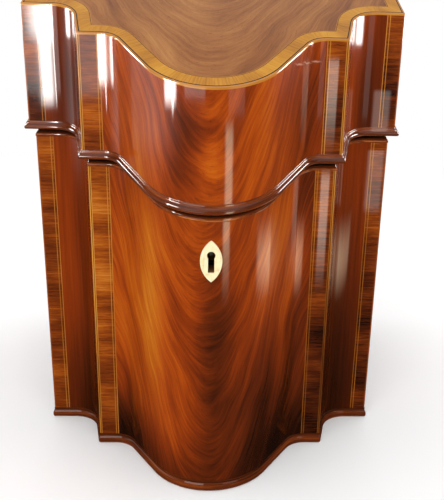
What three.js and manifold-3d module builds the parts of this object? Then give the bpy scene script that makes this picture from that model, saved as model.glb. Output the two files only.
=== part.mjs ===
// A mahogany knife box with a serpentine front and a sloping lid, in the English style of about 1790.
// Millimetres, +Z up. The pieces are set out in plan with x to the right and y to the back, where y = 0 is
// the front face of the two wings. The whole model is then moved so that its origin is the centre of its
// footprint, at the level of the underside.
import * as THREE from "three";
import { mergeVertices } from "three/addons/utils/BufferGeometryUtils.js";
import Module from "manifold-3d";

const wasm = await Module();
wasm.setup();

const radians = THREE.MathUtils.degToRad;

// Plan of the body, on its veneered face: the widths add up from the middle to the side
const bowHalf = 63.7; // half the bow with its ogees
const flatWidth = 9.8; // each inner flat, between an ogee and a sharp corner
const coveWidth = 24; // from a sharp corner to the centre of the hollow quarter beside it
const wingWidth = 14.5; // from that centre to the side
const wingDepth = 194; // from the wings' front face to the back
const bowReach = 82; // the bow's crown ahead of the wings
const flatReach = 32.5; // the inner flats ahead of the wings
const bowAngle = radians(56); // turn of the bow's arc on each side, up to the ogee's straight
const hollowRadius = 17; // the ogee's hollow, beside the flat
const coveRadius = 20;

// Heights, taken at the bow's crown, and the two slopes
const partHeight = 170.5; // the plane where lid and body part
const partSlope = Math.tan(radians(23));
const lidHeight = 63.5; // from there to the top face of the lid
const topSlope = Math.tan(radians(28.5));

// Thicknesses and small clearances
const wall = 9; // side and back boards
const frontWall = 8.8; // front board beside the bow
const bowBack = 58; // the flat inside the bow, ahead of the wings, where the lock sits
const bottomThickness = 9;
const lidTopThickness = 7;
const veneer = 1;
const topVeneer = 1.5;
const joint = 0.2; // glue line at curved or sloping faces
const mitre = 0.2; // each half of a mitre stands back by this
const lidGap = 0.3; // between the closed lid and the rim

// Lid overhang and the three mouldings: [distance outwards, share of the height] from the face they follow
const lidOverhang = 3;
const rimHeight = 6.2;
const rimHollow = [[0.25, 0], [0.3, 0.11], [-0.7, 0.26], [-1.25, 0.47], [-1.5, 0.71], [-1.5, 1]];
const baseHeight = 6.8;
const baseBead = [
  [0.2, 0], [0.8, 0.06], [1.1, 0.18], [1.2, 0.35], [1, 0.53], [0.6, 0.68], [0.3, 0.75], [0.3, 1],
];
const lipHeight = 4.6;
const lipBead = [
  [1.1, 0], [1.95, 0.08], [2.4, 0.23], [2.4, 0.38], [2, 0.53],
  [1.35, 0.63], [0.8, 0.7], [0.45, 0.8], [0.3, 0.93], [0, 1],
];

// Inside fittings
const boardDrop = 14; // knife board below the rim
const boardThickness = 7;
const bearerSize = 8;
const liningThickness = 1;
const partitionThickness = 4;
const fitGap = 0.4; // loose fit of the boards inside the carcase
const rearRowInset = 27; // middle of the rear row of slots from the back board
const frontRowInset = 26; // middle of the front slot from the flat inside the bow
const slotPitch = 31; // knives and forks
const spoonPitch = 44;
const knifeSlotWidth = 5.5;
const knifeSlotLength = 25;
const forkSlotWidth = 8;
const forkSlotLength = 17;
const spoonSlotWidth = 13;
const spoonSlotLength = 22;
const ladleSlotWidth = 16;
const ladleSlotLength = 24;

// Hinges: the leaves lie in the sloping joint, and the knuckles stand behind the back
const hingeCentre = 62;
const hingeWidth = 40;
const leafDepth = 8.5;
const leafThickness = 1.2;
const leafGap = 0.15; // from the middle of the joint to a leaf
const knuckleRadius = 2.4;
const knuckleBack = 3; // the pin behind the back edge, along the slope
const knuckleCount = 5;
const pinRadius = 1.1;
const pinClearance = 0.12;
const cutGap = 0.25; // round fittings that are let into wood
const cutOver = 2; // a cutter runs past the face that it opens by this
const weld = 1; // solids that are joined run into each other by this

// Screws, all of one kind
const screwHead = 1.9;
const screwShank = 1;
const screwHeadDepth = 1.1;
const screwRim = 0.2; // straight edge of the head
const screwLength = 4.6;
const screwInset = 12; // from the middle of a hinge

// Escutcheon and keyhole
const keyholeDown = 24.5; // the round head's centre below the parting plane, at the crown
const keyholeRadius = 2.3;
const keyholeSlot = 3.4;
const keyholeDrop = 9.5; // slot's foot below the round head's centre
const escutcheonHalfWidth = 6;
const escutcheonHalfHeight = 11.6;
const escutcheonLow = 3.2; // its centre below the keyhole's
const escutcheonProud = 0.25;

// Lock
const plateHalf = 23.5;
const plateThickness = 1.2;
const plateDrop = 12; // plate's foot below the keyhole's centre
const selvedgeDepth = 12;
const selvedgeThickness = 1.5;
const caseHalf = 19;
const caseDepth = 9;
const caseWall = 0.8;
const caseDrop = 10;
const guideThickness = 2;
const boltThickness = 2;
const boltBar = 4.6;
const boltTravel = 4;
const fingerSize = 1.6;
const lugSpread = 9; // each lug from the middle
const lugThickness = 2;
const lugHalf = 2;
const lugDepth = 7;
const lugEye = 1.3; // half the eye's width
const lugEyeDepth = 4.6;
const lugSetBack = 7; // lugs ahead of the lock's back face, at the parting plane
const boltClearance = 0.5;
const boltTailLeft = -5;
const boltTailRight = 1;
const boltTailRise = 5.5; // tail's foot above the keyhole's centre
const boltBarEnd = 9;
const notchHalf = 1.2;
const notchDepth = 4;
const keyPinLength = 19;
const linkHalf = 17;
const linkHalfDepth = 4.5;
const linkThickness = 1.4;
const linkScrew = 13.5;
const lockScrew = 21.2;
const keyPinRadius = 1.1;

// Number of straight steps in each arc
const bowSteps = 11;
const hollowSteps = 7;
const coveSteps = 8;
const roundSteps = 16;
const screwSteps = 10;

// Planes over y
const level = (height) => () => height;
const parting = (rise) => (y) => partHeight + partSlope * (y + bowReach) + rise;
const lidTop = (rise) => (y) => partHeight + lidHeight + topSlope * (y + bowReach) + rise;

// Plan sizes that the curves share; the bow's radius is the one at which its arc, the ogee's straight and
// the ogee's hollow meet without a kink
const coveCentre = bowHalf + flatWidth + coveWidth;
const bodyHalf = coveCentre + wingWidth;
const ogeeRun = (bowReach - flatReach) / Math.tan(bowAngle / 2) - bowHalf;
const bowRadius = (bowHalf - ogeeRun * Math.cos(bowAngle)) / Math.sin(bowAngle) - hollowRadius;
const cornerToCove = Math.hypot(coveWidth, flatReach - coveRadius);
const cornerBearing = Math.PI + Math.atan2(flatReach - coveRadius, coveWidth);
const wallBearing = cornerBearing - Math.acos(coveRadius / cornerToCove);

function arc(x, y, radius, from, to, steps) {
  const points = [];
  for (let i = 0; i <= steps; i += 1) {
    const bearing = from + ((to - from) * i) / steps;
    points.push([x + radius * Math.cos(bearing), y + radius * Math.sin(bearing)]);
  }
  return points;
}

// The front's right half in plan, from the middle to the outer corner, moved outwards by an offset
function frontHalf(offset) {
  const down = -Math.PI / 2;
  const bow = arc(0, bowRadius - bowReach, bowRadius + offset, down, down + bowAngle, bowSteps);
  const hollow = arc(bowHalf, -flatReach - hollowRadius, hollowRadius - offset,
    Math.PI / 2 + bowAngle, Math.PI / 2, hollowSteps);
  const flatY = -flatReach - offset;
  const coveOffset = coveRadius - offset;
  const cornerX = coveCentre
    + (coveOffset - (flatY + coveRadius) * Math.sin(wallBearing)) / Math.cos(wallBearing);
  const cove = arc(coveCentre, -coveRadius, coveOffset, wallBearing, Math.PI / 2, coveSteps);
  return [...bow, ...hollow, [cornerX, flatY], ...cove, [bodyHalf + offset, -offset]];
}

// The whole front from left to right; the ends stand back by an inset along the front
function frontLine(offset, inset = 0) {
  const right = frontHalf(offset);
  right[right.length - 1][0] -= inset;
  const left = right.slice(1).reverse().map(([x, y]) => [-x, y]);
  return [...left, ...right];
}

// The front line at an offset, ended square at a half width
function endedFront(offset, half) {
  const line = frontLine(offset);
  line[0][0] = -half;
  line[line.length - 1][0] = half;
  return line;
}

// A side from its front corner to the back; side is 1 on the right and -1 on the left
function sideLine(offset, side) {
  return [[side * (bodyHalf + offset), mitre - offset], [side * (bodyHalf + offset), wingDepth]];
}

// The stretch of a plan line that lies behind (or ahead of) a given y
function cutLine(line, cutY, behind) {
  const kept = [];
  line.forEach(([x, y], i) => {
    if (i > 0 && (line[i - 1][1] < cutY) !== (y < cutY)) {
      const [lastX, lastY] = line[i - 1];
      kept.push([lastX + ((x - lastX) * (cutY - lastY)) / (y - lastY), cutY]);
    }
    if (behind ? y >= cutY : y < cutY) kept.push([x, y]);
  });
  return kept;
}

// The inside of the front: it follows the face, but is filled out to a flat inside the bow
const insideLine = (offset, flatY) => cutLine(frontLine(offset), flatY, true);
const bowFill = (offset, flatY) => cutLine(frontLine(offset), flatY, false);

// Turns loose triangles into a closed geometry whose faces point out
function closedGeometry(positions, triangles) {
  const [a, b, c] = [new THREE.Vector3(), new THREE.Vector3(), new THREE.Vector3()];
  let volume = 0;
  triangles.forEach(([i, j, k]) => {
    a.set(...positions[i]);
    b.set(...positions[j]);
    c.set(...positions[k]);
    volume += a.dot(b.cross(c));
  });
  const geometry = new THREE.BufferGeometry();
  geometry.setAttribute("position", new THREE.Float32BufferAttribute(positions.flat(), 3));
  geometry.setIndex(triangles.flatMap(([i, j, k]) => (volume < 0 ? [i, k, j] : [i, j, k])));
  return geometry;
}

// A closed profile of [offset, plane] points swept along the plan line that each offset gives
function sweep(profile, lineAt) {
  const rings = profile.map(([offset, plane]) => lineAt(offset).map(([x, y]) => [x, y, plane(y)]));
  const count = rings[0].length;
  const triangles = [];
  rings.forEach((ring, k) => {
    const next = ((k + 1) % rings.length) * count;
    for (let i = 0; i < count - 1; i += 1) {
      const here = k * count + i;
      triangles.push([here, here + 1, next + i + 1], [here, next + i + 1, next + i]);
    }
  });
  const flat = profile.map(([offset, plane]) => new THREE.Vector2(offset, plane(0)));
  const turn = Math.sign(THREE.ShapeUtils.area(flat));
  THREE.ShapeUtils.triangulateShape(flat, []).forEach(([i, j, k]) => {
    const same = Math.sign(THREE.ShapeUtils.area([flat[i], flat[j], flat[k]])) === turn;
    const start = (same ? [i, j, k] : [j, i, k]).map((corner) => corner * count);
    triangles.push(start, start.map((corner) => corner + count - 1).reverse());
  });
  return closedGeometry(rings.flat(), triangles);
}

// A moulding's profile: its bead stands out from a face, from a low rise over a plane to its full height
const moulded = (bead, height, face, inner, plane, low) => [
  [inner, plane(low)],
  ...bead.map(([out, share]) => [face + out, plane(low + share * height)]),
  [inner, plane(low + height)],
];

// A flat skin between two planes
const skin = (outer, inner, under, over) => [[inner, under], [outer, under], [outer, over], [inner, over]];

// A board with upright edges: a plan outline between two planes over y
function board(outline, under, over) {
  const shape = new THREE.Shape(outline.map(([x, y]) => new THREE.Vector2(x, y)));
  const geometry = new THREE.ExtrudeGeometry(shape, { depth: 1, bevelEnabled: false });
  const position = geometry.getAttribute("position");
  for (let i = 0; i < position.count; i += 1) {
    const plane = position.getZ(i) > 0.5 ? over : under;
    position.setZ(i, plane(position.getY(i)));
  }
  return geometry;
}

const rectangle = (left, right, front, back) => (
  [[left, front], [right, front], [right, back], [left, back]]
);

function block(left, right, front, back, low, high) {
  const geometry = new THREE.BoxGeometry(right - left, back - front, high - low);
  return geometry.translate((left + right) / 2, (front + back) / 2, (low + high) / 2);
}

// An outline drawn in x and z, extruded along y from front to back
function upright(outline, front, back) {
  const shape = new THREE.Shape(outline.map(([x, z]) => new THREE.Vector2(x, z)));
  const geometry = new THREE.ExtrudeGeometry(shape, { depth: back - front, bevelEnabled: false });
  return geometry.rotateX(Math.PI / 2).translate(0, back, 0);
}

// Closed geometry to solid and back, for cuts and joins
function solid(geometry) {
  const bare = geometry.clone();
  bare.deleteAttribute("normal");
  bare.deleteAttribute("uv");
  const merged = mergeVertices(bare, 1e-5);
  return new wasm.Manifold(new wasm.Mesh({
    numProp: 3,
    vertProperties: new Float32Array(merged.getAttribute("position").array),
    triVerts: new Uint32Array(merged.getIndex().array),
  }));
}

// Works through the steps in turn: each adds solids, cuts them away or keeps what they share
function shaped(base, ...steps) {
  let result = solid(base);
  steps.forEach(({ add = [], cut = [], share = [] }) => {
    add.forEach((other) => { result = result.add(solid(other)); });
    cut.forEach((other) => { result = result.subtract(solid(other)); });
    share.forEach((other) => { result = result.intersect(solid(other)); });
  });
  const mesh = result.getMesh();
  const geometry = new THREE.BufferGeometry();
  geometry.setAttribute("position", new THREE.BufferAttribute(mesh.vertProperties, 3));
  geometry.setIndex(new THREE.BufferAttribute(mesh.triVerts, 1));
  return geometry;
}

// Materials, by what each piece is made of
const finish = (color, roughness, metalness = 0) => ({ color, roughness, metalness });
const mahogany = finish(0x8a3f14, 0.25);
const darkMahogany = finish(0x4a1f0d, 0.25);
const carcaseWood = finish(0x9a6a3c, 0.7);
const boxwood = finish(0xe6bd7c, 0.35);
const bone = finish(0xf0e2b8, 0.4);
const brass = finish(0xb08d45, 0.35, 1);
const steel = finish(0x6d6a66, 0.45, 1);
const baize = finish(0x24502f, 0.95);

const body = new THREE.Group();
const lid = new THREE.Group();

function piece(group, name, geometry, look) {
  const mesh = new THREE.Mesh(geometry, new THREE.MeshStandardMaterial(look));
  mesh.name = name;
  group.add(mesh);
  return mesh;
}

const sides = [{ side: -1, word: "left" }, { side: 1, word: "right" }];

// A block beside the wall on one side, from an inner to an outer distance from the middle
function beside(side, inner, outer, front, back, under, over) {
  const [left, right] = side < 0 ? [-outer, -inner] : [inner, outer];
  return board(rectangle(left, right, front, back), under, over);
}

// Where the boards stand
const boardHalf = bodyHalf - veneer;
const insideHalf = boardHalf - wall;
const frontFace = -veneer - joint;
const frontInside = frontFace - frontWall;
const backInside = wingDepth - wall;
const bodyTop = -rimHeight - joint; // top of the boards, from the parting plane
const lidHalf = bodyHalf + lidOverhang;
const lidBoardHalf = lidHalf - veneer;
const lidFrontFace = lidOverhang - veneer - joint;
const lidFrontInside = lidFrontFace - frontWall;
const lidBoardTop = -topVeneer - joint; // top of the lid's top board, from the lid's top plane
const lidWallTop = lidBoardTop - lidTopThickness - joint;

// A front board: its face follows the front, its ends are square, its inside carries the lock's flat
function frontPlan(face, inside, half) {
  const outer = endedFront(face, half);
  const inner = insideLine(inside, -bowBack).reverse();
  const back = inner[0][1];
  return [...outer, [half, back], ...inner.slice(1, -1), [-half, back]];
}

// Keyhole and escutcheon, drawn in x and z
const keyholeHeight = partHeight - keyholeDown;
function keyholeOutline(radius, slot, foot) {
  const opening = Math.asin(slot / 2 / radius);
  const head = arc(0, keyholeHeight, radius, opening - Math.PI / 2, 1.5 * Math.PI - opening, roundSteps);
  return [[slot / 2, keyholeHeight - foot], ...head, [-slot / 2, keyholeHeight - foot]];
}

function lensOutline(halfWidth, halfHeight) {
  const middle = keyholeHeight - escutcheonLow;
  const radius = (halfWidth ** 2 + halfHeight ** 2) / (2 * halfWidth);
  const reach = Math.asin(halfHeight / radius);
  const right = arc(halfWidth - radius, middle, radius, -reach, reach, roundSteps);
  const left = arc(radius - halfWidth, middle, radius, Math.PI - reach, Math.PI + reach, roundSteps);
  return [...right, ...left.slice(1, -1)];
}

// Hinge frame: x along the joint, y up its slope, z square to it, from the joint's back edge
const slopeAngle = Math.atan(partSlope);
function inJoint(geometry, x = 0, y = wingDepth) {
  geometry.rotateX(slopeAngle);
  return geometry.translate(x, y, parting(lidGap / 2)(y));
}

function rod(radius, low, high, steps = roundSteps) {
  const geometry = new THREE.CylinderGeometry(radius, radius, high - low, steps);
  return geometry.rotateX(Math.PI / 2).translate(0, 0, (low + high) / 2);
}

// A countersunk screw with its head's face at z = 0 and its point down; grown by a clearance for its hole
function screwShape(grow = 0) {
  const top = grow > 0 ? cutOver : 0;
  const profile = [
    [0, -screwLength - grow], [screwShank + grow, -screwLength - grow],
    [screwShank + grow, -screwHeadDepth - grow], [screwHead + grow, -screwRim],
    [screwHead + grow, top], [0, top],
  ];
  const lathe = new THREE.LatheGeometry(profile.map(([x, y]) => new THREE.Vector2(x, y)), screwSteps);
  return lathe.rotateX(Math.PI / 2);
}

// Carcase
const interior = (gap) => {
  const line = insideLine(frontInside - gap, gap - bowBack);
  return [...line, [insideHalf - gap, backInside - gap], [gap - insideHalf, backInside - gap]];
};
const wallBack = -frontInside; // back of the wings' boards
const ahead = -bowReach - lidOverhang - cutOver; // in front of everything, where cutters start
const keyhole = () => upright(keyholeOutline(keyholeRadius, keyholeSlot, keyholeDrop), ahead, -bowBack);
const plateFront = -bowBack - plateThickness;
const caseFront = plateFront - caseDepth;
const plateFoot = keyholeHeight - plateDrop;
const caseFoot = keyholeHeight - caseDrop;
const lockRecess = () => [
  board(rectangle(-plateHalf - cutGap, plateHalf + cutGap, plateFront - cutGap, 0),
    level(plateFoot - cutGap), parting(cutOver)),
  board(rectangle(-plateHalf - cutGap, plateHalf + cutGap, -bowBack - selvedgeDepth - cutGap, 0),
    parting(-selvedgeThickness - cutGap), parting(cutOver)),
  board(rectangle(-caseHalf - cutGap, caseHalf + cutGap, caseFront - cutGap, 0),
    level(caseFoot - cutGap), parting(cutOver)),
];
const lockScrewAt = (geometry, side) => (
  geometry.rotateX(-Math.PI / 2).translate(side * lockScrew, -bowBack, keyholeHeight)
);
const lockScrewHoles = (grow) => sides.map(({ side }) => lockScrewAt(screwShape(grow), side));

piece(body, "bottom_board", board(interior(joint), level(0), level(bottomThickness)), carcaseWood);
piece(body, "floor_lining", board(interior(fitGap), level(bottomThickness),
  level(bottomThickness + liningThickness)), baize);
piece(body, "front_board", shaped(
  board(frontPlan(frontFace, frontInside, boardHalf), level(0), parting(bodyTop)),
  { cut: [...lockRecess(), keyhole(), ...lockScrewHoles(cutGap)] },
), carcaseWood);
piece(body, "back_board", board(rectangle(-boardHalf, boardHalf, backInside, wingDepth),
  level(0), parting(bodyTop)), mahogany);
sides.forEach(({ side, word }) => {
  piece(body, `${word}_side_board`, beside(side, insideHalf, boardHalf, wallBack, backInside,
    level(0), parting(bodyTop)), carcaseWood);
});

// Veneers of the body, the front one cut out for the escutcheon
const bodySkin = skin(0, -veneer, level(baseHeight), parting(bodyTop));
const lens = (grow) => lensOutline(escutcheonHalfWidth + grow, escutcheonHalfHeight + grow);
piece(body, "front_veneer", shaped(
  sweep(bodySkin, (offset) => frontLine(offset, mitre)),
  { cut: [upright(lens(cutGap), ahead, -bowBack)] },
), mahogany);
sides.forEach(({ side, word }) => {
  piece(body, `${word}_side_veneer`, sweep(bodySkin, (offset) => sideLine(offset, side)), mahogany);
});
const escutcheonShell = skin(escutcheonProud, joint - veneer,
  level(keyholeHeight - 2 * escutcheonHalfHeight), level(keyholeHeight + 2 * escutcheonHalfHeight));
piece(body, "escutcheon", shaped(
  sweep(escutcheonShell, (offset) => frontLine(offset)),
  { share: [upright(lens(0), ahead, -bowBack)] },
  { cut: [keyhole()] },
), bone);

// Base moulding and rim, each in a front length and two side lengths mitred to it
const baseProfile = moulded(baseBead, baseHeight, 0, -veneer, level, 0);
const rimProfile = moulded(rimHollow, rimHeight, 0, frontInside, parting, -rimHeight);
const rimFill = board(bowFill(frontInside + weld, -bowBack), parting(-rimHeight), parting(0));
piece(body, "base_moulding_front", sweep(baseProfile, (offset) => frontLine(offset, mitre)), darkMahogany);
piece(body, "rim_front", shaped(
  sweep(rimProfile, (offset) => frontLine(offset, mitre)),
  { add: [rimFill] },
  { cut: lockRecess() },
), darkMahogany);
sides.forEach(({ side, word }) => {
  const line = (offset) => sideLine(offset, side);
  piece(body, `base_moulding_${word}`, sweep(baseProfile, line), darkMahogany);
  piece(body, `rim_${word}`, sweep(rimProfile, line), darkMahogany);
});

// Hinge leaves, pins and screws, face -1 for the body's leaf and 1 for the lid's
const knucklePitch = hingeWidth / knuckleCount;
const leafEdge = knuckleBack - knuckleRadius - cutGap; // a leaf stops short of its neighbour's knuckles
const leafFar = leafGap + leafThickness;
const leafScrews = [-screwInset, screwInset];
const facing = (geometry, face) => (face < 0 ? geometry : geometry.rotateX(Math.PI));
const leafScrew = (x, face, grow) => (
  facing(screwShape(grow), face).translate(x, -leafDepth / 2, face * leafGap)
);
const pinRod = (radius, half) => (
  rod(radius, -half, half).rotateY(Math.PI / 2).translate(0, knuckleBack, 0)
);

function leafShape(face, centre) {
  const [low, high] = face < 0 ? [-leafFar, -leafGap] : [leafGap, leafFar];
  const knuckles = [];
  for (let i = face < 0 ? 0 : 1; i < knuckleCount; i += 2) {
    const start = -hingeWidth / 2 + i * knucklePitch + (i > 0 ? joint : 0);
    const end = -hingeWidth / 2 + (i + 1) * knucklePitch - (i < knuckleCount - 1 ? joint : 0);
    const barrel = rod(knuckleRadius, start, end).rotateY(Math.PI / 2).translate(0, knuckleBack, 0);
    knuckles.push(block(start, end, leafEdge - weld, knuckleBack, low, high), barrel);
  }
  return inJoint(shaped(
    block(-hingeWidth / 2, hingeWidth / 2, -leafDepth, leafEdge, low, high),
    { add: knuckles },
    { cut: [pinRod(pinRadius + pinClearance, hingeWidth),
      ...leafScrews.map((x) => leafScrew(x, face, joint))] },
  ), centre);
}

function leafRecess(face, centre) {
  const [low, high] = face < 0 ? [-leafFar - cutGap, cutOver] : [-cutOver, leafFar + cutGap];
  const half = hingeWidth / 2 + cutGap;
  const seat = block(-half, half, -leafDepth - cutGap, cutOver, low, high);
  return [seat, ...leafScrews.map((x) => leafScrew(x, face, cutGap))].map((cutter) => (
    inJoint(cutter, centre)));
}

const leafRecesses = (face) => sides.flatMap(({ side }) => leafRecess(face, side * hingeCentre));
piece(body, "rim_back", shaped(
  board(rectangle(-insideHalf, insideHalf, backInside, wingDepth), parting(-rimHeight), parting(0)),
  { cut: leafRecesses(-1) },
), darkMahogany);
const owners = [{ group: body, face: -1, owner: "body" }, { group: lid, face: 1, owner: "lid" }];
sides.forEach(({ side, word }) => {
  const centre = side * hingeCentre;
  piece(body, `${word}_hinge_pin`, inJoint(pinRod(pinRadius, hingeWidth / 2), centre), brass);
  owners.forEach(({ group, face, owner }) => {
    piece(group, `${word}_hinge_${owner}_leaf`, leafShape(face, centre), brass);
    leafScrews.forEach((x) => {
      const place = x < 0 ? "left" : "right";
      piece(group, `${word}_hinge_${owner}_screw_${place}`, inJoint(leafScrew(x, face, 0), centre), brass);
    });
  });
});

// Lock on the inside of the bow: plate with its selvedge, case, key pin and bolt
const lugY = -bowBack - lugSetBack;
const eyeY = lugY + lugEyeDepth * Math.sin(slopeAngle);
const eyeHeight = parting(0)(lugY) - lugEyeDepth * Math.cos(slopeAngle);
const lugFoot = parting(0)(lugY) - lugDepth * Math.cos(slopeAngle) - lugHalf * Math.sin(slopeAngle);
const barTop = lugFoot - boltClearance;
const barFoot = barTop - boltBar;
const lugs = [-lugSpread, lugSpread];
const inLug = (geometry) => inJoint(geometry, 0, lugY);
const lugBlock = (x, grow, low, high) => inLug(block(
  x - lugThickness / 2 - grow, x + lugThickness / 2 + grow, -lugHalf - grow, lugHalf + grow, low, high,
));

piece(body, "lock_plate", shaped(
  board(rectangle(-plateHalf, plateHalf, plateFront, -bowBack), level(plateFoot), parting(-joint)),
  { add: [board(rectangle(-plateHalf, plateHalf, -bowBack - selvedgeDepth, -bowBack),
    parting(-selvedgeThickness), parting(-joint))] },
  { cut: [...lugs.map((x) => lugBlock(x, boltClearance, -selvedgeThickness - cutOver, cutOver)),
    ...lockScrewHoles(joint)] },
), brass);
const pocketHalf = caseHalf - caseWall;
const guideTop = barFoot - joint;
const guideSpans = [[-pocketHalf - caseWall / 2, boltTailLeft - boltClearance],
  [boltTailRight + boltTravel + boltClearance, pocketHalf + caseWall / 2]];
piece(body, "lock_case", shaped(
  board(rectangle(-caseHalf, caseHalf, caseFront, plateFront), level(caseFoot),
    parting(-selvedgeThickness - joint)),
  { cut: [board(rectangle(-pocketHalf, pocketHalf, caseFront + caseWall, 0), level(caseFoot + caseWall),
    parting(cutOver))] },
  { add: guideSpans.map(([left, right]) => block(
    left, right, caseFront + caseWall / 2, plateFront - joint, guideTop - guideThickness, guideTop,
  )) },
  { cut: [keyhole()] },
), steel);
const keyPin = rod(keyPinRadius, 0, keyPinLength, screwSteps);
piece(body, "lock_key_pin", keyPin.rotateX(Math.PI / 2).translate(0, plateFront, keyholeHeight), steel);
sides.forEach(({ side, word }) => {
  piece(body, `lock_screw_${word}`, lockScrewAt(screwShape(), side), brass);
});

// The bolt: a bar with a finger for each lug and a notched tail that the key moves
const fingerTip = -lugThickness / 2 - boltClearance; // from a lug's middle, at rest
const fingerRoot = fingerTip - boltTravel;
const hookBack = fingerRoot - fingerSize;
const hook = (x) => [
  [x + fingerRoot, barTop], [x + fingerRoot, eyeHeight - fingerSize / 2],
  [x + fingerTip, eyeHeight - fingerSize / 2], [x + fingerTip, eyeHeight + fingerSize / 2],
  [x + hookBack, eyeHeight + fingerSize / 2], [x + hookBack, barTop],
];
const tailMiddle = (boltTailLeft + boltTailRight) / 2;
const boltTailFoot = keyholeHeight + boltTailRise;
const boltOutline = [
  [boltTailLeft, barFoot], [boltTailLeft, boltTailFoot], [tailMiddle - notchHalf, boltTailFoot],
  [tailMiddle - notchHalf, boltTailFoot + notchDepth], [tailMiddle + notchHalf, boltTailFoot + notchDepth],
  [tailMiddle + notchHalf, boltTailFoot], [boltTailRight, boltTailFoot], [boltTailRight, barFoot],
  [boltBarEnd, barFoot], [boltBarEnd, barTop], ...hook(lugSpread),
  ...hook(-lugSpread).slice(0, -1), [hookBack - lugSpread, barFoot],
];
piece(body, "lock_bolt", upright(boltOutline, eyeY - boltThickness / 2, eyeY + boltThickness / 2), steel);

// Inside fittings: bearers, partitions and the sloping knife board with its rows of slots, spread evenly
const slotRows = [
  { count: 6, pitch: slotPitch, width: knifeSlotWidth, length: knifeSlotLength },
  { count: 6, pitch: slotPitch, width: knifeSlotWidth, length: knifeSlotLength },
  { count: 6, pitch: slotPitch, width: forkSlotWidth, length: forkSlotLength },
  { count: 4, pitch: spoonPitch, width: spoonSlotWidth, length: spoonSlotLength },
  { count: 1, pitch: 0, width: ladleSlotWidth, length: ladleSlotLength },
];
const rearRow = backInside - rearRowInset;
const rowPitch = (rearRow + bowBack - frontRowInset) / (slotRows.length - 1);
const rowAt = (i) => rearRow - i * rowPitch;
const bearerHalf = insideHalf - bearerSize;
const bearerTop = -boardDrop - boardThickness - joint;
sides.forEach(({ side, word }) => {
  piece(body, `${word}_bearer`, beside(side, bearerHalf, insideHalf, wallBack + fitGap, backInside - fitGap,
    parting(bearerTop - bearerSize), parting(bearerTop)), carcaseWood);
});
const floor = bottomThickness + liningThickness;
const partitionWords = ["rear", "middle", "front"];
partitionWords.forEach((word, i) => {
  const middle = rowAt(i + 0.5);
  const [front, back] = [middle - partitionThickness / 2, middle + partitionThickness / 2];
  const across = (half) => rectangle(-half, half, front, back);
  piece(body, `${word}_partition`, shaped(
    board(across(bearerHalf - fitGap), level(floor), parting(bearerTop)),
    { add: [board(across(insideHalf - fitGap), level(floor), parting(bearerTop - bearerSize - joint))] },
  ), carcaseWood);
});
const slots = slotRows.flatMap(({ count, pitch, width, length }, row) => (
  Array.from({ length: count }, (_, i) => {
    const x = (i - (count - 1) / 2) * pitch;
    const y = rowAt(row);
    return board(rectangle(x - width / 2, x + width / 2, y - length / 2, y + length / 2),
      parting(-boardDrop - boardThickness - cutOver), parting(cutOver - boardDrop));
  })
));
piece(body, "knife_board", shaped(
  board(interior(fitGap), parting(-boardDrop - boardThickness), parting(-boardDrop)),
  { cut: slots },
), mahogany);

// Lid
const lidInterior = lidHalf - veneer - wall;
const lidWallBack = -lidFrontInside;
const lidFoot = parting(lidGap);
const lidBoards = lidTop(lidWallTop);
const linkBlock = (half, halfDepth, low, high) => (
  inLug(block(-half, half, -halfDepth, halfDepth, low, high))
);
const linkScrewAt = (x, grow) => inLug(facing(screwShape(grow), 1).translate(x, 0, leafGap));
const linkScrews = [-linkScrew, linkScrew];

piece(lid, "lid_front_board", shaped(
  board(frontPlan(lidFrontFace, lidFrontInside, lidBoardHalf), lidFoot, lidBoards),
  { cut: [
    linkBlock(linkHalf + cutGap, linkHalfDepth + cutGap, -cutOver, leafGap + linkThickness + cutGap),
    ...linkScrews.map((x) => linkScrewAt(x, cutGap)),
  ] },
), carcaseWood);
piece(lid, "lid_back_board", shaped(
  board(rectangle(-lidBoardHalf, lidBoardHalf, backInside, wingDepth), lidFoot, lidBoards),
  { cut: leafRecesses(1) },
), mahogany);
sides.forEach(({ side, word }) => {
  piece(lid, `lid_${word}_side`, beside(side, lidInterior, lidBoardHalf, lidWallBack, backInside,
    lidFoot, lidBoards), carcaseWood);
});

piece(lid, "lid_top_board", board(
  [...endedFront(lidFrontFace, lidBoardHalf), [lidBoardHalf, wingDepth], [-lidBoardHalf, wingDepth]],
  lidTop(lidWallTop + joint), lidTop(lidBoardTop),
), carcaseWood);

// The top veneer lies behind the edge string, and beside the string's ends it reaches the lid's sides
const stringInner = lidOverhang - topVeneer;
const sideFront = mitre - lidOverhang;
piece(lid, "lid_top_veneer", board(
  [...endedFront(stringInner - joint, bodyHalf + stringInner), [lidHalf, sideFront], [lidHalf, wingDepth],
    [-lidHalf, wingDepth], [-lidHalf, sideFront]],
  lidTop(-topVeneer), lidTop(0),
), mahogany);
piece(lid, "lid_edge_string", sweep(skin(lidOverhang, stringInner, lidTop(-topVeneer), lidTop(0)),
  (offset) => frontLine(offset, mitre)), boxwood);

// Veneers and lip moulding of the lid
const lidVeneerFoot = lidGap + lipHeight + joint;
const lidSkin = skin(lidOverhang, lidOverhang - veneer, parting(lidVeneerFoot), lidTop(lidBoardTop));
const lipProfile = moulded(lipBead, lipHeight, lidOverhang, lidOverhang - veneer, parting, lidGap);
piece(lid, "lid_front_veneer", sweep(lidSkin, (offset) => frontLine(offset, mitre)), mahogany);
piece(lid, "lid_moulding_front", sweep(lipProfile, (offset) => frontLine(offset, mitre)), darkMahogany);
sides.forEach(({ side, word }) => {
  const line = (offset) => sideLine(offset, side);
  piece(lid, `lid_${word}_veneer`, sweep(lidSkin, line), mahogany);
  piece(lid, `lid_moulding_${word}`, sweep(lipProfile, line), darkMahogany);
});

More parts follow.
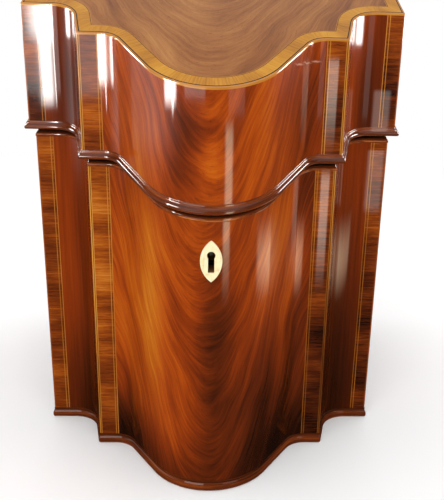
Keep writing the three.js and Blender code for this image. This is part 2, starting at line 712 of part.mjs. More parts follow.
// Link plate: two eyed lugs that drop through the selvedge for the bolt's fingers
piece(lid, "lock_link_plate", shaped(
  linkBlock(linkHalf, linkHalfDepth, leafGap, leafGap + linkThickness),
  { add: lugs.map((x) => lugBlock(x, 0, -lugDepth - lidGap / 2, leafGap + linkThickness / 2)) },
  { cut: [...lugs.map((x) => inLug(block(x - lugThickness, x + lugThickness, -lugEye, lugEye,
    -lugEyeDepth - lidGap / 2 - lugEye, -lugEyeDepth - lidGap / 2 + lugEye))),
  ...linkScrews.map((x) => linkScrewAt(x, joint))] },
), brass);
sides.forEach(({ side, word }) => {
  piece(lid, `lock_link_screw_${word}`, linkScrewAt(side * linkScrew, 0), brass);
});

// The origin goes to the middle of the footprint
const frontReach = bowReach + lidOverhang + Math.max(...lipBead.map(([out]) => out));
const knuckleReach = knuckleBack * Math.cos(slopeAngle) + knuckleRadius;
const model = new THREE.Group();
model.name = "knife_box";
model.add(body, lid);
model.position.y = (frontReach - wingDepth - knuckleReach) / 2;
model.updateMatrixWorld(true);

export default model;
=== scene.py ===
"""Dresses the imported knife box: veneers, crossbanding, stringing and mouldings in mesh code, procedural
materials, a plain pale floor, soft lamps and the camera. Lengths are written in millimetres and placed in
plan coordinates, with x to the right, y to the back and y = 0 on the front face of the two wings."""

import math

import bmesh
import bpy
from mathutils import Matrix, Vector


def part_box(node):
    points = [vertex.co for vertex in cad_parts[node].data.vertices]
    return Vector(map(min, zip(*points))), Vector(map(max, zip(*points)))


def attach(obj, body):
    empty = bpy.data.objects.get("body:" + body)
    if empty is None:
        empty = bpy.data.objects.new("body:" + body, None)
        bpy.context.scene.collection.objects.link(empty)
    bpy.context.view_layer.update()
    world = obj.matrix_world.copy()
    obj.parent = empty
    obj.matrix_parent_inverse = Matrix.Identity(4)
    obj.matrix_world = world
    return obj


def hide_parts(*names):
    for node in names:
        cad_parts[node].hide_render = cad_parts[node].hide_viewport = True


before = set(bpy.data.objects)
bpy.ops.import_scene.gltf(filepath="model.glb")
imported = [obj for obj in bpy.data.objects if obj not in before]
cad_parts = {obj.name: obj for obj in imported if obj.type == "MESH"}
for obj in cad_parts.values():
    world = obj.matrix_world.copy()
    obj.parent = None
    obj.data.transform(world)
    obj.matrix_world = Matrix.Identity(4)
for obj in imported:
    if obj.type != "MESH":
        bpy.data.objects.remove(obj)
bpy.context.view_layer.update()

MM = 0.001
SOFT = 0.3      # how far back from a sharp corner of the veneer its softening starts

# Plan of the front, as in the part's source
BOW_HALF = 63.7
FLAT_WIDTH = 9.8
COVE_WIDTH = 24.0
WING_WIDTH = 14.5
WING_DEPTH = 194.0
BOW_REACH = 82.0
FLAT_REACH = 32.5
BOW_ANGLE = math.radians(56)
HOLLOW_RADIUS = 17.0
COVE_RADIUS = 20.0
PART_HEIGHT = 170.5
PART_SLOPE = math.tan(math.radians(23))
LID_HEIGHT = 63.5
TOP_ANGLE = math.radians(28.5)
TOP_SLOPE = math.tan(TOP_ANGLE)
OVERHANG = 3.0

COVE_CENTRE = BOW_HALF + FLAT_WIDTH + COVE_WIDTH
BODY_HALF = COVE_CENTRE + WING_WIDTH
OGEE_RUN = (BOW_REACH - FLAT_REACH) / math.tan(BOW_ANGLE / 2) - BOW_HALF
BOW_RADIUS = (BOW_HALF - OGEE_RUN * math.cos(BOW_ANGLE)) / math.sin(BOW_ANGLE) - HOLLOW_RADIUS
BOW_MIDDLE = (0.0, BOW_RADIUS - BOW_REACH)
HOLLOW_MIDDLE = (BOW_HALF, -FLAT_REACH - HOLLOW_RADIUS)
COVE_MIDDLE = (COVE_CENTRE, -COVE_RADIUS)
CORNER_TO_COVE = math.hypot(COVE_WIDTH, FLAT_REACH - COVE_RADIUS)
CORNER_BEARING = math.pi + math.atan2(FLAT_REACH - COVE_RADIUS, COVE_WIDTH)
WALL_BEARING = CORNER_BEARING - math.acos(COVE_RADIUS / CORNER_TO_COVE)

SHIFT_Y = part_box("back_board")[1].y / MM - WING_DEPTH


def to_scene(x, y, z):
    """A point in plan millimetres as a point of the scene in metres."""
    return x * MM, (y + SHIFT_Y) * MM, z * MM


# Planes over y: the parting between body and lid, the lid's top and a level one
def parting(rise):
    return lambda y: PART_HEIGHT + PART_SLOPE * (y + BOW_REACH) + rise


def lid_top(rise):
    return lambda y: PART_HEIGHT + LID_HEIGHT + TOP_SLOPE * (y + BOW_REACH) + rise


def level(height):
    return lambda y: height


# The right half of the plan line runs through these parts, and each has a share t from 0 to 1
BOW, OGEE, HOLLOW, FLAT, CORNER, WALL, COVE, WING, EDGE, SIDE = range(10)


def unit(x, y):
    size = math.hypot(x, y)
    return x / size, y / size


def lerp(a, b, t):
    return tuple(p + (q - p) * t for p, q in zip(a, b))


def beside(corner, towards, soft):
    """Where a corner's softening starts on the way to its neighbour, short of the middle between them."""
    return lerp(corner, towards, min(0.49, soft / math.dist(corner, towards)))


def rounded(start, corner, end, soft, t):
    """A point of the soft corner, a share t along it."""
    first, last = beside(corner, start, soft), beside(corner, end, soft)
    return lerp(lerp(first, corner, t), lerp(corner, last, t), t)


def around(middle, radius, way):
    """A point of an arc. A hollow one, whose outward side faces its middle, has a negative radius."""
    return middle[0] + radius * way[0], middle[1] + radius * way[1]


def plan_point(part, t, off, soft):
    """Place and outward direction on the right half, moved outwards by off."""
    flat_y = -FLAT_REACH - off
    cove_r = COVE_RADIUS - off
    sin_w, cos_w = math.sin(WALL_BEARING), math.cos(WALL_BEARING)
    corner = (COVE_CENTRE + (cove_r - (flat_y + COVE_RADIUS) * sin_w) / cos_w, flat_y)
    cove_start = (COVE_CENTRE + cove_r * cos_w, -COVE_RADIUS + cove_r * sin_w)
    flat_start = (BOW_HALF, flat_y)
    turn = BOW_ANGLE - math.pi / 2
    if part in (BOW, OGEE):
        angle = -math.pi / 2 + BOW_ANGLE * (t if part == BOW else 1)
        way = (math.cos(angle), math.sin(angle))
        spot = around(BOW_MIDDLE, BOW_RADIUS + off, way)
        if part == OGEE:
            spot = lerp(spot, around(HOLLOW_MIDDLE, off - HOLLOW_RADIUS, way), t)
        return spot, way
    if part == HOLLOW:
        angle = turn * (1 - t) - math.pi / 2 * t
        way = (math.cos(angle), math.sin(angle))
        return around(HOLLOW_MIDDLE, off - HOLLOW_RADIUS, way), way
    wall_way = (-cos_w, -sin_w)
    if part == FLAT:
        return lerp(flat_start, beside(corner, flat_start, soft), t), (0.0, -1.0)
    if part == CORNER:
        return rounded(flat_start, corner, cove_start, soft, t), unit(*lerp((0.0, -1.0), wall_way, t))
    if part == WALL:
        return lerp(beside(corner, cove_start, soft), cove_start, t), wall_way
    if part == COVE:
        angle = WALL_BEARING + (math.pi / 2 - WALL_BEARING) * t
        way = (-math.cos(angle), -math.sin(angle))
        return around(COVE_MIDDLE, -cove_r, way), way
    edge = (BODY_HALF + off, -off)
    wing_start = (COVE_CENTRE, -off)
    back = (BODY_HALF + off, WING_DEPTH)
    if part == WING:
        return lerp(wing_start, beside(edge, wing_start, soft), t), (0.0, -1.0)
    if part == EDGE:
        return rounded(wing_start, edge, back, soft, t), unit(*lerp((0.0, -1.0), (1.0, 0.0), t))
    return lerp(beside(edge, back, soft), back, t), (1.0, 0.0)


STEPS = {BOW: 34, OGEE: 1, HOLLOW: 16, FLAT: 1, CORNER: 6, WALL: 1, COVE: 24, WING: 1, EDGE: 6, SIDE: 1}


def stations(first, last, extra=()):
    """The right half's stations between two of them: every part's steps, and the extra ones."""
    found = set(extra) | {first, last}
    for part, steps in STEPS.items():
        found |= {(part, i / steps) for i in range(1, steps + 1)}
    return [s for s in sorted(found) if first <= s <= last]


class Line:
    """A plan line with its stations, mirrored to the left where side is -1."""

    def __init__(self, places, soft=SOFT):
        self.places = places        # (side, part, t)
        self.soft = soft

    def at(self, off):
        out = []
        for side, part, t in self.places:
            (x, y), (nx, ny) = plan_point(part, t, off, self.soft)
            out.append((side * x, y, side * nx, ny))
        return out

    def run(self, off):
        """Distance along the line from its first station, at each of them."""
        points = self.at(off)
        total, found = 0.0, [0.0]
        for a, b in zip(points, points[1:]):
            total += math.dist(a[:2], b[:2])
            found.append(total)
        return found


def whole(places):
    """A right half's stations, from the middle, mirrored into a line from left to right."""
    return [(-1, *s) for s in reversed(places)] + [(1, *s) for s in places if s != (BOW, 0.0)]


class Piece:
    """Gathers a piece's faces. Each corner may carry grain coordinates in mm and a smooth normal."""

    def __init__(self):
        self.points, self.faces = [], []

    def ring(self, points):
        first = len(self.points)
        self.points += [tuple(p) for p in points]
        return list(range(first, len(self.points)))

    def ring_on(self, outline, plane):
        """A ring over an outline's plan points, on a plane over y."""
        return self.ring([(x, y, plane(y)) for x, y, *_ in outline])

    def face(self, corners, grain=None, normals=None, slot=0):
        self.faces.append((corners, grain, normals, slot))

    def strip(self, low, high, grain_low=None, grain_high=None, normals=None, slot=0, closed=False):
        """Quads between two rings with as many points."""
        count = len(low)
        for i in range(count if closed else count - 1):
            j = (i + 1) % count
            grain = normal = None
            if grain_low:
                grain = [grain_low[i], grain_low[i + 1], grain_high[i + 1], grain_high[i]]
            if normals:
                normal = [normals[i], normals[j], normals[j], normals[i]]
            self.face([low[i], low[j], high[j], high[i]], grain, normal, slot)

    def ends(self, rings, grains=None, slot=0):
        """The two faces that close a bar's ends."""
        for end in (0, -1):
            self.face([r[end] for r in rings], grains and [g[end] for g in grains], None, slot)

    def build(self, name, body, materials, slot_name, replaced=(), smooth_angle=None):
        mesh = bpy.data.meshes.new(name)
        mesh.from_pydata([to_scene(*p) for p in self.points], [], [f[0] for f in self.faces])
        work = bmesh.new()
        work.from_mesh(mesh)
        bmesh.ops.recalc_face_normals(work, faces=work.faces)
        work.to_mesh(mesh)
        work.free()
        grain = mesh.attributes.new("grain", "FLOAT_VECTOR", "CORNER")
        custom = []
        for poly, (corners, grains, normals, slot) in zip(mesh.polygons, self.faces):
            poly.use_smooth = normals is not None or smooth_angle is not None
            poly.material_index = slot
            for loop in poly.loop_indices:
                place = corners.index(mesh.loops[loop].vertex_index)
                x, y, z = self.points[corners[place]]
                along = grains[place] if grains else default_grain(x, y, z, poly.normal)
                grain.data[loop].vector = (*along, 0.0)
                custom.append(Vector(normals[place]) if normals else poly.normal.copy())
        for material in materials:
            mesh.materials.append(material)
        obj = bpy.data.objects.new(name, mesh)
        bpy.context.scene.collection.objects.link(obj)
        if smooth_angle is None:
            mesh.normals_split_custom_set([tuple(v) for v in custom])
        else:
            mesh.set_sharp_from_angle(angle=math.radians(smooth_angle))
        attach(obj, body)
        if replaced:
            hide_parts(*replaced)


def default_grain(x, y, z, normal):
    """Grain coordinates of a plain face: the two axes that it lies nearest to."""
    if abs(normal.z) > 0.7:
        return x, y
    if abs(normal.x) > abs(normal.y):
        return y, z
    return x, z


# Stringing and crossbanding beside the sharp corners and on the wings: (kind, width) from the edge inwards
INNER_STRIPS = [("boxwood", 0.7), ("dark", 0.35), ("boxwood", 0.5), ("band", 9.05),
                ("boxwood", 0.4), ("band", 1.1), ("boxwood", 0.4)]
WING_STRIPS = [("edge", 0.8), ("band", 7.7), ("boxwood", 0.45), ("band", 1.3), ("boxwood", 0.45)]
WALL_STRING = 0.7


def front_cells(off):
    """Borders of the face's columns on the right half, from the middle out, as (station, station, kind)."""
    flat_length = math.dist(plan_point(FLAT, 0, off, 0)[0], plan_point(CORNER, 0, off, 0)[0])
    hollow_length = (HOLLOW_RADIUS - off) * BOW_ANGLE
    wall_length = math.dist(plan_point(WALL, 0, off, 0)[0], plan_point(WALL, 1, off, 0)[0])

    def inwards(distance):
        if distance <= flat_length:
            return (FLAT, 1 - (distance - SOFT) / (flat_length - SOFT))
        return (HOLLOW, 1 - (distance - flat_length) / hollow_length)

    cells, far = [], (WALL, (WALL_STRING - SOFT) / (wall_length - SOFT))
    distance = 0.0
    for kind, width in INNER_STRIPS:
        distance += width
        near = inwards(distance)
        cells.append((near, far, kind))
        far = near
    cells.append(((BOW, 0.0), far, "flame"))
    cells.reverse()
    wing_length = WING_WIDTH + off
    outer, distance, wing = (EDGE, 1.0), 0.0, []
    for kind, width in WING_STRIPS:
        distance += width
        near = (WING, 1 - (distance - SOFT) / (wing_length - SOFT))
        wing.append((near, outer, kind))
        outer = near
    cells.append((cells[-1][1], outer, "plain"))
    return cells + wing[::-1]


def skin_piece(piece, places, faces, planes, runs, slot=0):
    """One closed stretch of a veneer between two offsets and two planes over y."""
    (outer, inner), (under, over) = faces, planes
    line = Line(places)
    front, back = line.at(outer), line.at(inner)
    rings, grains = [], []
    for points, plane in ((front, under), (front, over), (back, over), (back, under)):
        placed = [(x, y, plane(y)) for x, y, _, _ in points]
        rings.append(piece.ring(placed))
        grains.append([(runs[p], z) for p, (_, _, z) in zip(places, placed)])
    ways = [(nx, ny, 0.0) for _, _, nx, ny in front]
    for k in range(4):
        j = (k + 1) % 4
        piece.strip(rings[k], rings[j], grains[k], grains[j], None if k else ways, slot)
    piece.ends(rings, grains, slot)


def arch_run(places, off):
    """Signed distance of each station of a whole line from the line's middle, along the front."""
    run = Line(places).run(off)
    middle = run[len(run) // 2]
    return {p: r - middle for p, r in zip(places, run)}


# Materials

def srgb(r, g, b):
    """Linear colour from 8-bit screen values."""
    shares = [c / 255 for c in (r, g, b)]
    return tuple(c / 12.92 if c <= 0.04045 else ((c + 0.055) / 1.055) ** 2.4 for c in shares)


class Nodes:
    """A node tree in the making. Sockets and plain numbers can be used alike."""

    def __init__(self, tree):
        self.tree = tree

    def put(self, socket, value):
        if isinstance(value, bpy.types.NodeSocket):
            self.tree.links.new(value, socket)
        elif value is not None:
            socket.default_value = value

    def make(self, kind, values=(), **settings):
        """Outputs of a new node, whose inputs are given in order or by name."""
        node = self.tree.nodes.new("ShaderNode" + kind)
        for name, value in settings.items():
            setattr(node, name, value)
        for key, value in values.items() if isinstance(values, dict) else enumerate(values):
            self.put(node.inputs[key], value)
        return node.outputs

    def math(self, operation, *values):
        return self.make("Math", values, operation=operation)[0]

    def times(self, value, factor):
        return self.math("MULTIPLY", value, factor)

    def plus(self, *values):
        total = values[0]
        for value in values[1:]:
            total = self.math("ADD", total, value)
        return total

    def blend(self, *shares):
        """Sum of (value, share) pairs, the last item being a plain number."""
        return self.plus(*[self.times(value, share) for value, share in shares[:-1]], shares[-1])

    def vector(self, x=0.0, y=0.0, z=0.0):
        return self.make("CombineXYZ", (x, y, z))[0]

    def parts(self, vector):
        return self.make("SeparateXYZ", (vector,))

    def attribute(self, name="grain"):
        return self.parts(self.make("Attribute", attribute_name=name)["Vector"])

    def place(self):
        """Place in the object's own space, in mm."""
        own = self.make("TexCoord")["Object"]
        return self.parts(self.make("VectorMath", {0: own, "Scale": 1 / MM}, operation="SCALE")[0])

    def noise(self, vector, detail=2.0, roughness=0.5):
        """Value and colour of a noise."""
        values = {"Vector": vector, "Scale": 1.0, "Detail": detail, "Roughness": roughness}
        return self.make("TexNoise", values)

    def grain(self, place, scales, detail=2.0, roughness=0.5, seed=0.0):
        """Value of a noise over coordinates, each with a scale. Over two of them, the seed is the third."""
        scaled = [self.times(value, scale) for value, scale in zip(place, scales)]
        return self.noise(self.vector(*(scaled + [seed])[:3]), detail, roughness)[0]

    def ramp(self, factor, stops, smooth=True, colour_of=srgb):
        """Colours between stops, each a place and 8-bit screen values, or what colour_of takes."""
        node = self.tree.nodes.new("ShaderNodeValToRGB")
        node.color_ramp.interpolation = "EASE" if smooth else "LINEAR"
        elements = node.color_ramp.elements
        while len(elements) < len(stops):
            elements.new(0.5)
        for element, (place, colour) in zip(elements, stops):
            element.position = place
            element.color = (*colour_of(*colour), 1.0)
        self.put(node.inputs[0], factor)
        return node.outputs[0]

    def span(self, value, low, high, to_low=0.0, to_high=1.0):
        """A smooth step from to_low to to_high while the value goes from low to high."""
        values = (value, low, high, to_low, to_high)
        return self.make("MapRange", values, interpolation_type="SMOOTHSTEP")[0]

    def mix(self, factor, a, b):
        colours = [c if isinstance(c, bpy.types.NodeSocket) else (*c, 1.0) for c in (a, b)]
        return self.make("Mix", {"Factor": factor, 6: colours[0], 7: colours[1]}, data_type="RGBA")[2]

    def bump(self, height, strength, distance=0.0002):
        return self.make("Bump", {"Strength": strength, "Distance": distance, "Height": height})[0]

    def spot(self, u, v, at, size):
        """1 in the middle of a soft oval, 0 outside it."""
        du, dv = [self.math("DIVIDE", self.math("SUBTRACT", value, middle), half)
                  for value, middle, half in zip((u, v), at, size)]
        return self.span(self.distance(du, dv), 1.0, 0.0)

    def distance(self, x, y):
        return self.math("SQRT", self.math("MULTIPLY_ADD", x, x, self.times(y, y)))

    def background_rays(self):
        """1 for the camera's, reflected and transmitted rays, which see the white background."""
        rays = self.make("LightPath")
        total = rays["Is Camera Ray"]
        for word in ("Is Glossy Ray", "Is Transmission Ray"):
            total = self.math("MAXIMUM", total, rays[word])
        return total


class Shader(Nodes):
    """The nodes of a new material with a principled surface."""

    def __init__(self, name):
        self.material = bpy.data.materials.new(name)
        self.material.use_nodes = True
        super().__init__(self.material.node_tree)
        self.tree.nodes.clear()
        self.out = self.tree.nodes.new("ShaderNodeOutputMaterial")
        self.bsdf = self.tree.nodes.new("ShaderNodeBsdfPrincipled")
        self.surface(self.bsdf.outputs[0])

    def surface(self, socket):
        self.put(self.out.inputs[0], socket)
        return self.material

    def set(self, **values):
        for name, value in values.items():
            self.put(self.bsdf.inputs[name.replace("_", " ")], value)
        return self.material

    def polish(self, u, v, roughness=0.32):
        """French polish: a clear coat over the wood, slightly wavy and brushed."""
        wave = self.grain((u, v), (0.06, 0.03), 1.0)
        fine = self.grain((u, v), (0.9, 0.5), 3.0)
        normal = self.bump(self.plus(wave, self.times(fine, 0.02)), 0.12, 0.0004)
        return self.set(Roughness=roughness, Specular_IOR_Level=0.04, Coat_Weight=1.0, Coat_Roughness=0.07,
                        Coat_IOR=1.5, Normal=normal, Coat_Normal=normal)

    def zoned(self, tone, u, v, zones):
        """Broad places of the wood's own tone and of painted light and shade: (middle, half size, amount).
        """
        for at, size, amount in zones:
            tone = self.math("MULTIPLY_ADD", self.spot(u, v, at, size), amount, tone)
        return tone

    def marked(self, colour, u, v, marks, tint):
        """Scratches or cracks: thin soft ovals that wander a little."""
        if marks:
            wander = self.noise(self.vector(self.times(u, 0.35), 0.0, 3.0), 3.0)[0]
            v = self.plus(v, self.math("MULTIPLY_ADD", wander, 2.6, -1.3))
        for at, size in marks:
            colour = self.mix(self.times(self.spot(u, v, at, size), 0.75), colour, tint)
        return colour


FLAME_ACROSS = 60.0             # how steeply the feathers fall towards the spine, in mm
FLAME_WARP = (18.0, 32.0)       # how far the figure wanders, in mm
PORE_COLOUR, SCRATCH_COLOUR, CRACK_COLOUR = srgb(40, 14, 3), srgb(196, 150, 124), srgb(38, 14, 8)


def flame(name, spine, turn, stops, zones, level_tone, seed, contrast, foot=None, scale=1.0, scratches=()):
    """Crotch-cut mahogany: feathered streaks that fall towards a spine, over zones of tone and of painted
    light and shade.
    """
    s = Shader(name)
    u, v, _ = s.attribute()
    drift = s.parts(s.noise(s.vector(s.times(u, 0.016), s.times(v, 0.012), seed), 2.0, 0.55)[1])
    du, dv = [s.math("MULTIPLY_ADD", s.math("SUBTRACT", part, 0.5), warp, value)
              for part, warp, value in zip(drift, FLAME_WARP, (s.math("SUBTRACT", u, spine), v))]
    ratio = s.math("DIVIDE", du, turn)
    curve = s.math("SQRT", s.math("MULTIPLY_ADD", ratio, ratio, 1.0))
    place = (s.math("MULTIPLY_ADD", curve, -FLAME_ACROSS, dv), du)
    broad = s.grain(place, (0.022, 0.02), 2.0, 0.5, seed + 3)
    streak = s.grain(place, (0.11 * scale, 0.035 * scale), 3.0, 0.65, seed + 7)
    fine = s.grain(place, (0.55 * scale, 0.08 * scale), 3.0, 0.6, seed + 13)
    pores = s.grain(place, (2.2, 0.3), 2.0, 0.6, seed + 11)
    shares = [share * contrast for share in (0.5, 0.62, 0.42)]
    tone = s.blend(*zip((broad, streak, fine), shares), level_tone - 0.5 * sum(shares))
    tone = s.zoned(tone, u, v, zones)
    # The foot is painted shade: darker towards the bottom of the face.
    if foot:
        start, end, amount = foot
        tone = s.plus(tone, s.span(v, start, end, amount, 0.0))
    colour = s.mix(s.span(pores, 0.40, 0.30, 0.0, 0.5), s.ramp(tone, stops, smooth=False), PORE_COLOUR)
    s.set(Base_Color=s.marked(colour, u, v, scratches, SCRATCH_COLOUR))
    return s.polish(u, v, roughness=s.span(pores, 0.3, 0.6, 0.5, 0.36))


def banding(name, stops, seed, zones=(), cracks=()):
    """Crossbanding: straight-grained veneer with its grain across the strip."""
    s = Shader(name)
    u, v, _ = s.attribute()
    wide = s.grain((u, v), (0.02, 0.045), 2.0, 0.5, seed)
    lines = s.grain((u, v), (0.05, 0.9), 3.0, 0.6, seed + 4)
    fine = s.grain((u, v), (0.25, 4.0), 2.0, 0.6, seed + 9)
    tone = s.zoned(s.blend((wide, 1.1), (lines, 0.75), (fine, 0.4), -0.62), u, v, zones)
    s.set(Base_Color=s.marked(s.ramp(tone, stops, smooth=False), u, v, cracks, CRACK_COLOUR))
    return s.polish(u, v)


def plain_wood(name, stops, seed, zones=(), spread=1.0, shift=-0.1):
    """Straight-grained wood with its grain upright along v."""
    s = Shader(name)
    u, v, _ = s.attribute()
    wide = s.grain((u, v), (0.05, 0.004), 2.0, 0.5, seed)
    lines = s.grain((u, v), (0.5, 0.012), 4.0, 0.7, seed + 4)
    tone = s.zoned(s.blend((wide, 0.6 * spread), (lines, 0.6 * spread), shift), u, v, zones)
    s.set(Base_Color=s.ramp(tone, stops, smooth=False))
    return s.polish(u, v)


def solid_wood(name, stops, scale=(0.5, 0.03, 0.5), roughness=0.55, coat=0.0):
    """Wood of a board in the object's own space, with its grain along the axis of the smallest scale."""
    s = Shader(name)
    x, y, z = s.place()
    bend = s.grain((x, y, z), (0.01, 0.01, 0.01), 1.0)
    bent = s.plus(s.times(x, scale[0]), s.times(bend, 3.0))
    lines = s.noise(s.vector(bent, s.times(y, scale[1]), s.times(z, scale[2])), 3.0, 0.6)[0]
    wide = s.grain((x, y, z), (scale[0] * 0.15, scale[1] * 0.3, scale[2] * 0.15))
    tone = s.blend((lines, 0.5), (wide, 0.7), -0.1)
    return s.set(Base_Color=s.ramp(tone, stops), Roughness=roughness, Specular_IOR_Level=0.35,
                 Coat_Weight=coat, Coat_Roughness=0.12, Normal=s.bump(lines, 0.12))


def run_wood(name, seed, wear_and_highlight, painted_shade=()):
    """A polished moulding with its grain along the run, lighter on arrises and darker in hollows.

    The first list lightens arrises with wear and painted highlight: (depth over the profile, reach,
    amount), and the second darkens hollows with painted shade: (start, end, amount)."""
    s = Shader(name)
    u, v, _ = s.attribute()
    lines = s.grain((u, v), (0.03, 1.4), 3.0, 0.6, seed)
    wide = s.grain((u, v), (0.02, 0.2), 2.0, 0.5, seed + 2)
    patchy = s.span(s.grain((u, v), (0.12, 0.5), 3.0, 0.6, seed + 5), 0.3, 0.6)
    tone = s.blend((lines, 0.8), (wide, 0.8), -0.3)
    for at, reach, amount in wear_and_highlight:
        near = s.span(s.math("ABSOLUTE", s.math("SUBTRACT", v, at)), reach, 0.0)
        tone = s.math("MULTIPLY_ADD", s.times(near, patchy), amount, tone)
    for start, end, amount in painted_shade:
        tone = s.math("MULTIPLY_ADD", s.span(v, start, end), amount, tone)
    s.set(Base_Color=s.ramp(tone, MOULD_STOPS, smooth=False))
    return s.polish(u, v)


# Colours from dark to light: (place on the ramp, 8-bit screen values)
FLAME_STOPS = [(0.0, (30, 10, 2)), (0.2, (60, 21, 3)), (0.4, (99, 35, 4)), (0.55, (131, 48, 4)),
               (0.7, (166, 70, 7)), (0.85, (188, 97, 13)), (1.0, (208, 126, 34))]
TOP_STOPS = [(0.0, (70, 32, 12)), (0.3, (106, 56, 22)), (0.55, (140, 82, 34)), (0.8, (168, 108, 52)),
             (1.0, (190, 132, 70))]
BAND_STOPS = [(0.0, (34, 11, 3)), (0.22, (74, 27, 5)), (0.48, (122, 52, 9)), (0.7, (164, 82, 16)),
              (0.92, (196, 118, 38))]
TOP_BAND_STOPS = [(0.1, (132, 76, 12)), (0.5, (190, 126, 24)), (0.9, (218, 160, 48))]
EDGE_STOPS = [(0.2, (120, 58, 18)), (0.8, (166, 90, 34))]
BOX_STOPS = [(0.0, (84, 38, 8)), (0.3, (158, 92, 22)), (0.8, (214, 150, 62))]
DARK_STOPS = [(0.2, (30, 14, 8)), (0.8, (58, 28, 14))]
MOULD_STOPS = [(0.0, (20, 8, 3)), (0.2, (56, 22, 7)), (0.5, (98, 41, 12)), (0.8, (142, 66, 20)),
               (1.0, (208, 122, 52))]
BOARD_STOPS = MOULD_STOPS[1:4]
CARCASE_STOPS = [(0.15, (120, 78, 44)), (0.5, (154, 106, 62)), (0.85, (182, 136, 88))]

# Light and dark places: (run along the front and height, half sizes, amount)
# These are partly the veneer's own tone and partly painted light and shade.
BODY_ZONES = [((-42, 118), (26, 98), 0.3), ((-76, 110), (24, 90), 0.1), ((4, 112), (18, 46), -0.26),
              ((0, 60), (20, 66), -0.24), ((46, 155), (26, 58), 0.1), ((26, 66), (34, 60), -0.22),
              ((86, 26), (62, 120), -0.38), ((-84, -6), (44, 84), -0.48), ((40, 20), (40, 62), -0.3),
              ((84, 172), (26, 66), -0.3)]
LID_ZONES = [((-17, 203), (16, 45), -0.26), ((2, 197), (12, 17), 0.2), ((0, 212), (14, 12), -0.12),
             ((34, 205), (22, 48), 0.08), ((-44, 190), (30, 60), 0.2), ((72, 220), (24, 70), -0.2)]
TOP_ZONES = [((-20, -30), (50, 60), 0.08), ((20, 30), (50, 50), -0.06), ((0, 120), (170, 80), 0.14)]
WING_ZONES = [((-118, 0), (46, 100), -0.36), ((122, 20), (60, 190), -0.38), ((-124, 110), (12, 150), -0.16)]
LID_WING_ZONES = [((-128, 230), (34, 60), -0.18), ((110, 222), (24, 70), 0.24),
                  ((138, 220), (14, 60), -0.2)]
BAND_ZONES = [((96, 40), (44, 190), -0.36), ((150, 40), (34, 190), -0.28), ((-150, 60), (24, 160), -0.08),
              ((-92, 20), (20, 80), -0.06), ((-92, 130), (14, 90), 0.18)]
LID_BAND_ZONES = [((-152, 226), (34, 50), -0.34), ((94, 215), (16, 60), -0.2),
                  ((150, 215), (20, 60), -0.34)]
# Painted shade: the body's front grows darker towards its foot.
BODY_FOOT_SHADE = (0.0, 45.0, -0.28)
LID_SCRATCHES = [((61, 245), (7, 0.8)), ((70, 246), (7, 0.7)), ((78, 247), (5, 0.8))]
BODY_CRACKS = [((148, 155), (6, 0.5))]
LID_CRACKS = [((92, 256), (6, 0.45)), ((91, 248), (6, 0.45))]

body_flame = flame("body_flame", -3.0, 20.0, FLAME_STOPS, BODY_ZONES, 0.6, seed=1.0, contrast=0.85,
                   foot=BODY_FOOT_SHADE)
lid_flame = flame("lid_flame", -4.0, 22.0, FLAME_STOPS, LID_ZONES, 0.6, seed=5.0, contrast=0.8,
                  scratches=LID_SCRATCHES)
top_flame = flame("top_flame", -2.0, 26.0, TOP_STOPS, TOP_ZONES, 0.62, seed=9.0, contrast=1.2, scale=0.55)
wing_wood = plain_wood("wing_wood", FLAME_STOPS, 2.0, WING_ZONES, spread=0.6, shift=0.16)
lid_wing_wood = plain_wood("lid_wing_wood", FLAME_STOPS, 2.5, LID_WING_ZONES, spread=0.6, shift=0.1)
side_wood = plain_wood("side_wood", FLAME_STOPS, 14.0, spread=0.75, shift=0.03)
edge_wood = plain_wood("edge_wood", EDGE_STOPS, 4.0)
boxwood = plain_wood("boxwood", BOX_STOPS, 8.0)
body_string = plain_wood("body_string", BOX_STOPS, 8.0, BAND_ZONES)
dark_line = plain_wood("dark_line", DARK_STOPS, 12.0)
band_wood = banding("band_wood", BAND_STOPS, 3.0, BAND_ZONES, BODY_CRACKS)
lid_band_wood = banding("lid_band_wood", BAND_STOPS, 3.5, LID_BAND_ZONES, LID_CRACKS)
top_band = banding("top_band", TOP_BAND_STOPS, 6.0)
# Lighter arrises are wear and painted highlight; the rim's dark band under the lid's lip and the base's
# darker upper part are painted shade.
moulding_wood = run_wood("moulding_wood", 2.0, [(0.9, 1.3, 0.4)], [(1.6, 4.2, -0.7)])
lip_wood = run_wood("lip_wood", 4.0, [(0.5, 0.9, 1.1), (5.2, 1.2, 0.15)])
base_wood = run_wood("base_wood", 6.0, [(0.2, 0.7, 0.5), (3.6, 1.0, 0.15)],
                     [(1.0, 2.4, -0.04), (5.0, 6.6, -0.15)])
carcase_wood = solid_wood("carcase_wood", CARCASE_STOPS)
board_wood = solid_wood("board_wood", BOARD_STOPS, roughness=0.38, coat=0.4)
back_wood = solid_wood("back_wood", BOARD_STOPS, scale=(0.03, 0.5, 0.5), roughness=0.4)


def solid_look(name, noises, shares, stops, relief, rough=None, **surface):
    """A material in the object's own space. Noises share in its colour, and the first gives its relief."""
    s = Shader(name)
    place = s.place()
    found = [s.grain(place, *noise) for noise in noises]
    if rough:
        surface["Roughness"] = s.span(found[-1], *rough)
    colour = s.ramp(s.blend(*zip(found, shares), 0.0), stops)
    return s.set(Base_Color=colour, Normal=s.bump(found[0], *relief), **surface)


